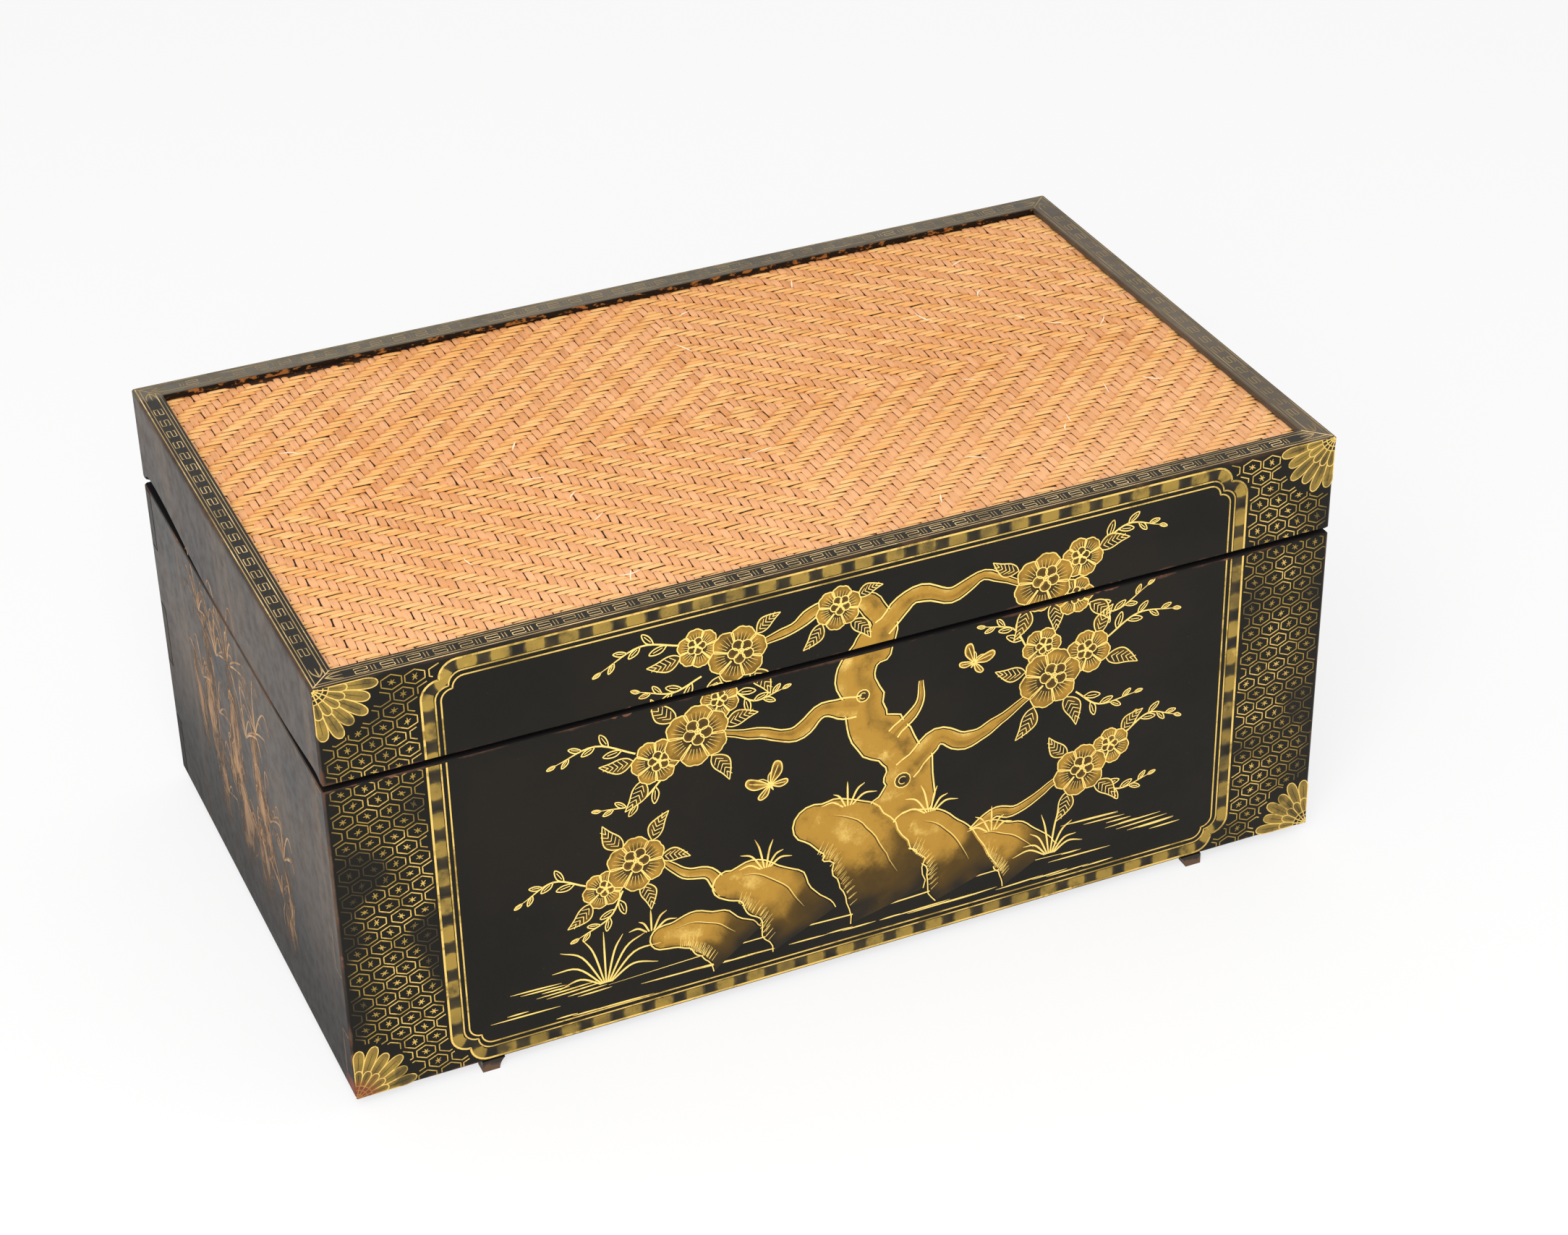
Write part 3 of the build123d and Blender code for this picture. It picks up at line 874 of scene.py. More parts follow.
def chrysanthemum(gold, su, sv):
    """A quarter of a flower whose middle is the corner of the front."""
    corner = np.array((su * half_u, 0.0 if sv < 0 else face_height))
    flip = np.array((-su, 1.0 if sv < 0 else -1.0))
    gold.layer = 0
    for k in range(6):
        far = flower_radius - 4 * (k % 2)
        petal(gold, corner, flip, 7.5 + 15 * k, near=17, far=far, half_width=4.4, fill=0.55)
    gold.layer = 1
    for k in range(5):
        petal(gold, corner, flip, 9 + 18 * k, near=10, far=27, half_width=3.2, fill=0.53)
    gold.layer = 2
    turn = np.radians(np.linspace(3, 87, 9))
    ring = np.stack([np.cos(turn), np.sin(turn)], 1)
    gold.wash(ring * 13 * flip + corner, ring * 0.9 * flip + corner, (0.12, 0.12))
    for radius in (5.0, 9.0, 13.0):
        gold.line(ring * radius * flip + corner, 0.9, 0.85)
    for k in range(4):
        gold.line(turned([(1.5, 0), (12.5, 0)], 14 + 20 * k, (0, 0)) * flip + corner, 0.9, 0.92)


for su in (-1, 1):
    for sv in (-1, 1):
        chrysanthemum(border, su, sv)
part_at_seam(border.make("front_border", border_gold), "front_border")

# %% [markdown]
# ## The picture on the front
# Inside the frame grows a flowering tree on rocks by the water, the old subject of such chests. The picture
# is put together from a few motifs, each a function, in an arrangement of this chest's own. First come wood
# and stone. A rock or a limb is a wash of gold, then a thin black gap, then a bright line round it.

# %% Motifs of wood and stone
GAP = 1.7


def bark(points, widths, steps=6, rough=0.42):
    """Both knobbly edges of a limb, and the directions from its middle line to them."""
    path = curve(points, steps)
    t = np.linspace(0, 1, len(path))
    half = np.interp(t, np.linspace(0, 1, len(widths)), widths) / 2
    along = np.gradient(path, axis=0)
    along /= np.linalg.norm(along, axis=1, keepdims=True)
    side = np.stack([-along[:, 1], along[:, 0]], 1)
    knobs, dents = drifts(path, 17, 5.0), drifts(path, 15, 9.0)
    return path, side, half * (1 + rough * knobs), half * (1 + rough * dents)


def limb(gold, points, widths, share=0.70):
    """A piece of trunk or branch."""
    path, side, left, right = bark(points, widths)
    inner_left = path + side * np.maximum(left - GAP, left * 0.5)[:, None]
    inner_right = path - side * np.maximum(right - GAP, right * 0.5)[:, None]
    gold.wash(inner_left, inner_right, (share + 0.04, share, share - 0.20, share - 0.05), 5)
    for edge in (path + side * left[:, None], path - side * right[:, None]):
        gold.line(edge, 1.35, 1.0, taper=(0.0, 0.5))


def knot(gold, at, size):
    """An old knot in the bark: a dark eye with a gold ring."""
    ring = arc(at, size, 0, 330, 12)
    gold.wash(ring, drawn_in(ring, at, 0.03), (0.35, 0.12), 2, closed=True)
    gold.line(ring, 1.0, 1.0, closed=True)
    gold.line(arc(at, size * 0.5, 40, 300, 9), 0.8, 0.9)


def rock(gold, points, widths):
    """A leaning rock with a round crown: bright above, black at its foot, mossy on its hollow side."""
    path, side, left, right = bark(points, widths, 7, 0.26)
    rise = np.linspace(0, 1, len(path))[:, None]
    light = np.clip(0.16 + 1.5 * rise, 0, 1) * np.array([[0.48, 0.64, 0.75, 0.73, 0.68, 0.58]])
    inner_left = path + side * (left - GAP)[:, None]
    inner_right = path - side * (right - GAP)[:, None]
    gold.wash(inner_left, inner_right, light, 5)
    ahead = math.degrees(math.atan2(*(path[-1] - path[-2])[::-1]))
    reach = (left[-1] + right[-1]) / 2
    turn = np.linspace(ahead + 90, ahead - 90, 9)
    cap = np.vstack([arc(path[-1], reach, a, a, 1) for a in turn])
    inner_cap = drawn_in(cap, path[-1], 1 - GAP / reach)
    gold.wash(inner_cap, drawn_in(inner_cap, path[-1], 0.03), (0.60, 0.66), 2)
    edge_left = path + side * left[:, None]
    edge_right = path - side * right[:, None]
    gold.line(np.vstack([edge_left, cap[1:-1], edge_right[::-1]]), 1.4, 1.0, taper=0.4)
    for k in range(3, len(path) - 6):
        foot = edge_left[k] - side[k] * 2.2
        reach = 6.0 + 2.0 * math.sin(2.2 * k)
        for climb in (-0.5, 0.5, 1.5):
            start = foot + (path[k + 1] - path[k]) * climb
            gold.line([start, start - side[k] * reach + (0, 3.0)], 0.6, 0.92, taper=(0.2, 0.7))
    fold = path[4:-3] - side[4:-3] * (right * 0.35)[4:-3, None]
    gold.line(fold, 0.9, 0.10, taper=0.9)
    gold.line(fold + (1.2, 0.6), 0.9, 0.95, taper=0.9)


print("black gap round limbs and rocks in mm:", GAP)

# %% [markdown]
# A blossom is built up like a real one: six scalloped petals at the back, five round ones before them, and a
# star of stamens. Leaves are mostly outline, with veins on the black.

# %% Motifs of flowers and leaves
def blossom(gold, at, radius, spin=0.0, petals=6):
    """A full flower: scalloped petals with fine rays, and a smaller flower of round petals before them."""
    at = np.array(at, float)
    spread = 180 / petals * 1.08
    angle = np.linspace(-spread, spread, 11)
    unit = np.stack([np.cos(np.radians(angle)), np.sin(np.radians(angle))], 1)
    scallop = 0.04 * np.abs(np.sin(np.radians(angle / spread * 270)))
    for k in range(petals):
        a = spin + 360 * k / petals
        reach = radius * (0.72 + 0.26 * np.cos(np.radians(angle / spread * 84)) ** 0.6 + scallop)
        rim = turned(unit * reach[:, None], a, at)
        base = turned(unit * radius * 0.3, a, at)
        gold.wash(base, rim, (0.12, 0.32, 0.60, 0.48), 4)
        gold.line(np.vstack([base[:1], rim, base[-1:]]), 0.95, 0.96)
        for ray in (-0.5, -0.17, 0.17, 0.5):
            path = [(radius * 0.45, 0), (radius * 0.80, 0)]
            gold.line(turned(path, a + ray * spread, at), 0.55, 0.95, taper=(0.2, 0.6))
    gold.layer += 1
    heart = at + turned([(radius * 0.14, 0)], spin * 3.0, (0, 0))[0]
    for k in range(5):
        centre = turned([(radius * 0.27, 0)], spin + 30 + 72 * k, heart)[0]
        ring = arc(centre, radius * 0.19, 0, 330, 12)
        gold.wash(ring, drawn_in(ring, centre, 0.02), (0.44, 0.26), 2, closed=True)
        gold.line(ring, 0.9, 0.97, closed=True)
    star(gold, *heart, radius * 0.10, spin, 1.0, 5)
    gold.layer -= 1


def leaf(gold, at, length, angle, width=0.46, share=0.12):
    """A pointed leaf: a bright outline, a midrib and slanting veins on the black."""
    half = width * length / 2
    upper = curve([(0, 0), (0.18 * length, 0.75 * half), (0.42 * length, half), (0.74 * length, 0.5 * half),
                   (length, 0)], 4)
    bent = np.array([(0, 0.10 * length * math.sin(math.pi * u / length)) for u, _ in upper])
    place = [turned(path + bent, angle, at) for path in (upper, upper * (1, -1))]
    gold.wash(place[0], place[1], (share + 0.30, share, share), 3)
    for path in place:
        gold.line(path, 1.1, 1.0, taper=0.3)
    for t in (0.16, 0.30, 0.44, 0.58, 0.72):
        rise = 0.10 * length * math.sin(math.pi * t)
        for s in (-1, 1):
            reach = 0.72 * half * math.sin(math.pi * min(1.0, t + 0.16)) ** 0.8
            vein = [(t * length, rise), ((t + 0.16) * length, rise + s * reach)]
            gold.line(turned(vein, angle, at), 0.75, 0.97, taper=(0, 0.4))


def bud(gold, at, size, angle):
    """A small narrow leaf on a twig: an open loop with a fine line in it."""
    loop = curve([(0, 0), (0.35 * size, 0.20 * size), (0.72 * size, 0.17 * size), (size, 0.0),
                  (0.70 * size, -0.15 * size), (0.32 * size, -0.13 * size), (0, 0)], 4)
    gold.line(turned(loop, angle, at), 0.95, 1.0)
    gold.line(turned([(0.25 * size, 0), (0.78 * size, 0.01 * size)], angle, at), 0.65, 0.95)


def spray(gold, points, size=17.0):
    """A thin twig with small leaves on both sides by turns, larger at its foot."""
    path = curve(points, 6)
    gold.line(path, 1.5, 1.0, taper=(0, 0.7))
    s = 1
    for i in range(2, len(path) - 1, 2):
        ahead = path[i + 1] - path[i - 1]
        angle = math.degrees(math.atan2(ahead[1], ahead[0]))
        bud(gold, path[i], size * (1.0 - 0.55 * i / len(path)), angle + s * (42 + 10 * math.sin(3.0 * i)))
        s = -s
    bud(gold, path[-1], size * 0.45, angle)


def cluster(gold, flowers, leaves):
    """Blossoms (across, up, radius, turn) that grow together, before leaves (across, up, length, turn)."""
    gold.layer = 3
    for u, v, length, angle in leaves:
        leaf(gold, (u, v), length, angle)
    for k, (u, v, radius, spin) in enumerate(reversed(flowers)):
        gold.layer = 4 + 2 * k
        blossom(gold, (u, v), radius, spin)


print("motifs: blossom, leaf, bud, spray and cluster")

# %% [markdown]
# Grass, water and butterflies are mostly single strokes, thick in the middle and thin at the tips, as a
# loaded brush leaves them.

# %% Motifs of the ground and the air
def grass(gold, at, blades, height, spread=70):
    """A tuft of bending blades."""
    for k in range(blades):
        t = (k + 0.5) / blades * 2 - 1
        reach = height * (1.0 - 0.35 * abs(t) + 0.15 * math.sin(5.0 * k + at[0]))
        a = math.radians(90 - t * spread)
        foot = (at[0] + 5 * t, at[1])
        middle = (foot[0] + 0.55 * reach * math.cos(a), foot[1] + 0.62 * reach * math.sin(a))
        tip = (foot[0] + reach * math.cos(a) * 1.15, foot[1] + reach * (math.sin(a) - 0.34 * abs(t)))
        gold.line(curve([foot, middle, tip], 5), 1.7, 1.0, taper=(0.3, 0.9))


def butterfly(gold, at, size, angle):
    """Two pairs of wings, a body and feelers."""
    for s in (-1, 1):
        for reach, lean, fat in ((1.0, 38, 0.62), (0.68, -32, 0.6)):
            wing = curve([(0, 0), (0.45, 0.30 * fat), (0.95, 0.42 * fat), (1.0, 0.0),
                          (0.6, -0.32 * fat), (0, 0)], 4)
            path = turned(turned(wing * reach, lean, (0, 0)) * (s, 1), angle, at, size)
            middle = path.mean(0)
            gold.wash(path[:-1], drawn_in(path[:-1], middle, 0.05), (0.75, 0.35, 0.6), 3, closed=True)
            gold.line(path, 1.0, 1.0)
            gold.line([np.array(at), middle + (middle - at) * 0.5], 0.7, 1.0)
    body = turned([(0, -0.28), (0, 0.22)], angle, at, size)
    gold.line(np.linspace(body[0], body[1], 5), 2.4, 1.0, taper=0.7)
    for s in (-1, 1):
        feeler = curve([(0, 0.2), (s * 0.12, 0.42), (s * 0.32, 0.52)], 3)
        gold.line(turned(feeler, angle, at, size), 0.7, 1.0)


def water(gold, low, high, left, right, count):
    """Long flat strokes for the water's surface."""
    for k in range(count):
        length = 18 + 44 * (k * 0.781 % 1.0)
        u = left + (right - left) * (k * GOLDEN % 1.0)
        v = low + (high - low) * ((k * 0.377 + 0.13) % 1.0)
        rise = 1.4 * math.sin(2.4 * k)
        path = curve([(u - length / 2, v), (u, v + rise * 0.4), (u + length / 2, v + rise)], 4)
        gold.line(path, 1.7, 0.97, taper=0.9)


print("motifs: grass, butterfly and water")

# %% [markdown]
# Now the picture itself, from back to front. Each row of the tables below places one motif, in millimetres
# from the middle of the front and from its lower edge. Water and shore come first, then the trunk, which
# winds up to the frame, and its branches.

# %% Water, trunk and branches
picture = Gilding(on_front)
for stretch in ((20, 34, -250, 250, 18), (34, 60, -290, -222, 9), (36, 74, 196, 290, 12)):
    water(picture, *stretch)
picture.line(curve([(-214, 41), (-90, 44), (20, 41), (120, 44), (206, 41)], 8), 1.6, 1.0, taper=0.9)

trunk = [(20, 104), (46, 146), (42, 184), (14, 218), (4, 250), (8, 280), (24, 306), (16, 330), (-8, 346)]
picture.layer = 1
limb(picture, trunk, (50, 46, 38, 40, 33, 35, 28, 20, 9))
picture.layer = 2
for widths, points in (
        ((21, 16, 14, 11, 6), [(44, 168), (72, 192), (98, 182), (122, 190), (154, 208)]),
        ((20, 15, 14, 10, 6), [(4, 240), (-26, 246), (-50, 232), (-78, 240), (-110, 250)]),
        ((19, 15, 13, 10, 5), [(24, 308), (52, 330), (84, 322), (112, 332), (144, 316)]),
        ((13, 11, 9, 5), [(0, 330), (-26, 340), (-50, 328), (-78, 322)]),
        ((13, 10, 9, 5), [(-112, 100), (-126, 122), (-146, 128), (-164, 146)]),
        ((13, 10, 9, 5), [(92, 76), (122, 102), (146, 100), (180, 118)]),
        ((11, 7, 3), [(34, 206), (56, 228), (58, 250)])):
    limb(picture, points, widths)
knot(picture, (42, 160), 7.0)
knot(picture, (8, 250), 5.5)
print("strokes of water and tree:", picture.strokes)

# %% [markdown]
# Five rocks lean over the tree's foot. The nearest one is the largest and overlaps its neighbours.

# %% Rocks
for layer, points, widths in (
        (3, [(158, 40), (146, 60), (124, 76), (102, 80)], (56, 46, 38, 26)),
        (4, [(98, 40), (86, 74), (70, 100), (48, 112)], (58, 50, 44, 30)),
        (3, [(-104, 40), (-120, 60), (-142, 72), (-166, 72)], (54, 42, 34, 22)),
        (4, [(-46, 40), (-62, 72), (-84, 98), (-110, 106)], (60, 52, 44, 28)),
        (5, [(28, 40), (16, 88), (-6, 126), (-36, 142)], (76, 66, 58, 38))):
    picture.layer = layer
    rock(picture, points, widths)
print("strokes with the rocks:", picture.strokes)

# %% [markdown]
# Flowers grow in clusters at the ends of the branches. In each cluster the largest flower is in front, and
# the leaves look out from behind.

# %% Flowers and leaves
for flowers, leaves in (
        ([(172, 220, 27, 10), (206, 236, 20, 44), (164, 252, 17, 5)],
         [(158, 196, 32, -120), (186, 198, 32, -70), (222, 226, 32, -22), (150, 232, 28, 165),
          (214, 250, 28, 62)]),
        ([(-132, 254, 27, 24), (-166, 240, 20, 0), (-112, 280, 16, 35)],
         [(-148, 272, 32, 128), (-120, 232, 30, -62), (-176, 226, 30, 236), (-108, 256, 28, 10),
          (-184, 246, 28, 176)]),
        ([(164, 312, 26, 20), (198, 326, 18, 50), (192, 292, 17, 0)],
         [(150, 292, 30, -112), (206, 282, 28, -48), (212, 330, 28, 8), (142, 328, 26, 150),
          (172, 290, 28, -84)]),
        ([(-96, 318, 24, 12), (-128, 332, 17, 40)],
         [(-86, 300, 30, -58), (-112, 302, 30, -124), (-142, 328, 28, 186), (-80, 332, 24, 34)]),
        ([(-186, 150, 25, 30), (-214, 134, 17, 8)],
         [(-196, 168, 30, 122), (-172, 168, 28, 58), (-224, 124, 28, 222), (-182, 130, 28, -76),
          (-166, 150, 26, -14)]),
        ([(202, 122, 24, 16), (230, 138, 17, 40)],
         [(192, 104, 30, -112), (216, 106, 30, -48), (190, 140, 28, 128), (240, 148, 26, 44)]),
        ([(-12, 336, 19, 18)], [(-2, 322, 26, -50), (-26, 326, 26, -128), (4, 342, 22, 14)])):
    cluster(picture, flowers, leaves)
print("strokes with the flowers:", picture.strokes)

# %% [markdown]
# Thin twigs fill the air round the clusters, tufts of grass stand on the rocks and at the water's edge, and
# two butterflies fly beside the trunk. Then the whole picture is made into a mesh and cut at the seam.

# %% Twigs, grass and butterflies
picture.layer = 2
for points in ([(222, 244), (250, 260), (282, 256)], [(196, 200), (218, 182), (250, 184)],
               [(-182, 252), (-214, 268), (-246, 260)], [(-160, 224), (-182, 206), (-212, 208)],
               [(212, 332), (238, 346), (266, 338)], [(200, 284), (228, 268), (258, 284)],
               [(-142, 338), (-174, 346), (-206, 332)], [(-126, 306), (-150, 298), (-176, 306)],
               [(-228, 142), (-254, 154), (-280, 142)], [(-198, 128), (-210, 106), (-236, 94)],
               [(242, 146), (264, 160), (288, 152)], [(216, 104), (240, 92), (266, 98)],
               [(-104, 290), (-84, 272), (-60, 276)], [(150, 256), (138, 276), (114, 284)]):
    spray(picture, points)

picture.layer = 6
for u, v, blades, height in ((-216, 44, 9, 58), (-78, 112, 6, 30), (66, 122, 6, 30), (176, 46, 8, 42),
                             (122, 86, 5, 24), (-6, 150, 5, 26), (-176, 82, 5, 22)):
    grass(picture, (u, v), blades, height)
butterfly(picture, (-72, 190), 21, 25)
butterfly(picture, (104, 254), 18, -30)
part_at_seam(picture.make("front_picture", bright_gold), "front_picture")

# %% [markdown]
# ## The ends
# The ends were painted too, but little of the gold is left: tall rocks as streaky brown clouds, and over them
# tufts of long grass with a few blades still bright. A worn rock is a wash that fades out on every side.

# %% Faded painting on the ends
def worn_rock(gold, points, widths, share):
    """An upright rock with hardly any outline left, and streaks of gold along it."""
    path, side, left, right = bark(points, widths, 7, 0.7)
    rise = np.sin(np.pi * np.linspace(0.02, 0.90, len(path)) ** 1.05) ** 0.9
    across = np.array([0.0, 0.55, 0.9, 1.0, 0.8, 0.5, 0.0])
    gold.wash(path + side * left[:, None], path - side * right[:, None], share * rise[:, None] * across, 6)
    for k in range(5):
        sway = 0.38 - 0.19 * k + 0.16 * drifts(path, 20, k)
        streak = path + side * (sway * (left + right))[:, None]
        gold.line(streak[2 + k % 3:-2], 1.6, (share * 1.25 * rise)[2 + k % 3:-2], taper=0.8)


def tuft(gold, foot, height, blades, share, spread=76):
    """A fountain of long thin blades, each curling over at its tip."""
    for k in range(blades):
        t = (k + 0.5) / blades * 2 - 1
        lean = math.radians(t * spread + 9 * math.sin(4.1 * k + foot[0]))
        reach = height * (0.72 + 0.28 * math.cos(2.7 * k + foot[1])) * (1.0 - 0.25 * abs(t))
        top = np.array((reach * math.sin(lean), reach * math.cos(lean)))
        out = 1 if math.sin(lean) >= 0 else -1
        curl = reach * (0.14 + 0.20 * abs(t))
        path = [(0, 0), top * 0.5 + (-0.05 * out * reach, 0.02 * reach), top,
                top + (0.8 * curl * out, 0.1 * curl), top + (1.3 * curl * out, -0.9 * curl)]
        strength = share * (0.8 + 0.2 * math.sin(3.7 * k + foot[0]))
        gold.line(curve(np.array(path) + np.array(foot), 4), 1.7, strength, taper=(0.2, 0.75))


def end_picture(gold, flip):
    """Rocks and tufts of long grass, mirrored by flip."""
    for share, widths, points in (
            (0.62, (40, 46, 40, 30, 12), [(-84, 40), (-78, 96), (-92, 150), (-80, 208), (-90, 262)]),
            (0.66, (54, 50, 44, 34, 16), [(-24, 44), (-10, 92), (-26, 136), (-10, 196), (-18, 250)]),
            (0.60, (50, 44, 40, 28, 12), [(44, 40), (36, 84), (54, 128), (44, 184), (54, 232)]),
            (0.54, (36, 34, 24, 10), [(104, 34), (96, 66), (108, 100), (100, 140)]),
            (0.46, (22, 26, 18, 8), [(-128, 84), (-124, 128), (-136, 168), (-128, 204)])):
        worn_rock(gold, [(flip * u, v) for u, v in points], widths, share)
    gold.layer = 1
    for u, v, height, blades in (
            (-96, 250, 52, 8), (-52, 232, 66, 9), (-14, 244, 74, 9), (-66, 168, 48, 8), (20, 196, 58, 8),
            (56, 222, 56, 8), (-34, 118, 46, 7), (70, 146, 50, 8), (28, 100, 44, 7), (102, 130, 48, 8),
            (-112, 176, 40, 6), (84, 82, 40, 7), (-70, 86, 36, 6)):
        tuft(gold, (flip * u, v), height, blades, 0.62 + 0.50 * min(1.0, v / 210))


for name, place, flip in (("left_end_picture", on_left, 1), ("right_end_picture", on_right, -1)):
    gold = Gilding(place)
    end_picture(gold, flip)
    part_at_seam(gold.make(name, faded_gold), name)

# %% [markdown]
# The boards meet in box joints. On the ends their outlines show through the lacquer as hairlines: pale ones
# near the front, and dark open cracks near the back, where the wood has shrunk.

# %% Joint lines on the ends
fingers = 5
finger_height = (seam_low - body_low) / MM / fingers
joint_depth = wall / MM
joint_start = 4.0
joint_margin = 3.0


def crack_finish():
    """The dark inside of an open joint."""
    f = Finish("crack")
    colour = f.mix((0.006, 0.005, 0.004), (0.020, 0.013, 0.009), f.noise(200.0))
    return f.set(Base_Color=colour, Roughness=0.9, Specular_IOR_Level=0.05)


def joint_lines(gold, edge, inward, width, share):
    """The outline of every second finger along one upright edge of an end."""
    start, corner = edge + inward * joint_start, edge + inward * joint_depth
    for k in range(0, fingers, 2):
        low = max(joint_margin, k * finger_height)
        high = min(fingers * finger_height - joint_margin, (k + 1) * finger_height)
        path = [(start, low), (corner, low), (corner, (low + high) / 2), (corner, high), (start, high)]
        shake = [(0.5 * drift(v, 13 * k, 13, 2.0), 0) for _, v in path]
        gold.line(np.array(path) + shake, width, share)


crack = crack_finish()
for name, place, front in (("left", on_left, 1), ("right", on_right, -1)):
    pale = Gilding(place)
    joint_lines(pale, front * half_end, -front, 0.8, 0.62)
    dark = Gilding(place)
    joint_lines(dark, -front * half_end, front, 1.8, 0.0)
    for piece in (pale.make(name + "_joint_hairlines", faded_gold), dark.make(name + "_joint_cracks", crack)):
        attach(piece, "chest")
        print(piece.name, len(piece.data.polygons), "faces")

# %% [markdown]
# ## The rim
# Round the top runs a flat mitred rim with gold lines and a key fret between them. The fret is one hook,
# drawn again and again and turned over every second time. On the long sides a pair of bars parts each hook
# from the next. At the mitres a spray of three strokes ends the fret.

# %% Rim lines and fret
rim_u = rim_width / MM
corner_room = 34.0
# Each line's place in from the outer edge, and its width.
rim_lines = (2.4, 1.0), (5.2, 0.65), (15.9, 0.8), (18.8, 0.65)
fret_low = 7.0
fret_high = 13.6
fret_line = 0.7
hook_length = 9.8
hook_pitch = 20.0
bar_places = (13.6, 16.2)
spray_height = 11.0
# Each side's half length, its share of gold, and its face.
rim_sides = (
    ("front", half_u, 0.96, on_face((0, front_face, lid_top), (1, 0, 0), (0, 1, 0))),
    ("back", half_u, 0.64, on_face((0, back_face, lid_top), (-1, 0, 0), (0, -1, 0))),
    ("left", half_end, 0.92, on_face((-half_length, middle_y, lid_top), (0, -1, 0), (1, 0, 0))),
    ("right", half_end, 0.60, on_face((half_length, middle_y, lid_top), (0, 1, 0), (-1, 0, 0))),
)


def hook(gold, s, upright, share):
    """One square hook of the fret, like an angular 2 or 5."""
    mid, end, tip = (fret_low + fret_high) / 2, hook_length, 1.2
    shape = np.array([(0.0, fret_high - tip), (0.0, fret_high), (end, fret_high), (end, mid), (0.0, mid),
                      (0.0, fret_low), (end, fret_low), (end, fret_low + tip)])
    if not upright:
        shape = shape * (-1, 1) + (end, 0)
    path = [a + (b - a) * t for a, b in zip(shape[:-1], shape[1:]) for t in (0, 0.25, 0.75)]
    gold.line(np.array(path + [shape[-1]]) + (s, 0), fret_line, share)


def mitre(gold, half, end, share):
    """The line along one mitre of the rim, and the spray before it."""
    gold.line([(end * (half - t), t) for t in (2.0, 11.0, rim_u - 0.8)], 0.9, share)
    for lean in (-2.2, 0.0, 2.2):
        points = [(end * (half - 14.0), spray_height), (end * (half - 20.0), spray_height + lean * 1.6),
                  (end * (half - 27.0), spray_height + lean * 2.0)]
        gold.line(curve(points, 4), 1.3, share * 0.8, taper=(0.3, 0.8))


for side, half, full, place in rim_sides:
    gold = Gilding(place)
    long_side = half == half_u
    for t, width in rim_lines:
        path = np.stack([np.linspace(t - half, half - t, 90), np.full(90, t)], 1)
        gold.line(path, width, [full * (0.8 + 0.35 * drift(s, 40 * t, 40, 2.0)) for s, _ in path])
    count = int((2 * half - 2 * corner_room) / hook_pitch)
    for k in range(count):
        s = (k - count / 2) * hook_pitch
        share = full * (0.90 + 0.4 * drift(s, 200, 50, half))
        hook(gold, s + (1.0 if long_side else 4.5), k % 2 == 0, share)
        for bar in bar_places if long_side else ():
            gold.line(np.linspace((s + bar, fret_low), (s + bar, fret_high), 3), fret_line, share * 0.8)
    for end in (-1, 1):
        mitre(gold, half, end, full)
    piece = gold.make(f"{side}_rim_gold", rim_gold)
    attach(piece, "lid")
    print(piece.name, len(piece.data.polygons), "faces")

# %% [markdown]
# ## Woven cane
# The mat is split cane in a twill of three over, three under. The step turns round at the middle, so the
# diagonals close into diamonds. Every float, the stretch of a strip that lies on top, is one small arched
# piece. One float is modelled, and its copies are stretched to their own length.

# %% One float of cane
weft_pitch = 5.25
warp_pitch = 6.3
float_stations = (-1.0, -0.86, -0.55, 0.0, 0.55, 0.86, 1.0)
station_heights = (0.0, 0.62, 0.95, 1.0, 0.95, 0.62, 0.0)


def one_float():
    """A strip of cane from a cube: cut into stretches along its length, and once down its middle."""
    bpy.ops.object.select_all(action="DESELECT")
    bpy.ops.mesh.primitive_cube_add(size=2.0)
    strip = bpy.context.object
    for place in float_stations[1:-1]:
        edit(strip, bpy.ops.mesh.bisect, plane_co=(place, 0, 0), plane_no=(1, 0, 0))
    edit(strip, bpy.ops.mesh.bisect, plane_co=(0, 0, 0), plane_no=(0, 1, 0))
    points = np.array([vertex.co for vertex in strip.data.vertices])
    faces = [tuple(face.vertices) for face in strip.data.polygons]
    bpy.data.objects.remove(strip, do_unlink=True)
    return points, faces


float_points, float_faces = one_float()
print("one float:", len(float_points), "points,", len(float_faces), "faces")

# %% [markdown]
# Cane is golden and a little shiny on its skin side, with fine fibres along the strip. Both directions are
# the same
# cane: the strips that run from end to end are made lighter and yellower, the others pinker and darker,
# painted light and shade for how the light falls on each direction. Towards the ends of a float the cane is a
# darker orange, painted shade where it dives under the crossing strip, and towards the front of the mat it is
# paler.

# %% Cane finishes
front_pale = (1.0, 0.62, 0.33)


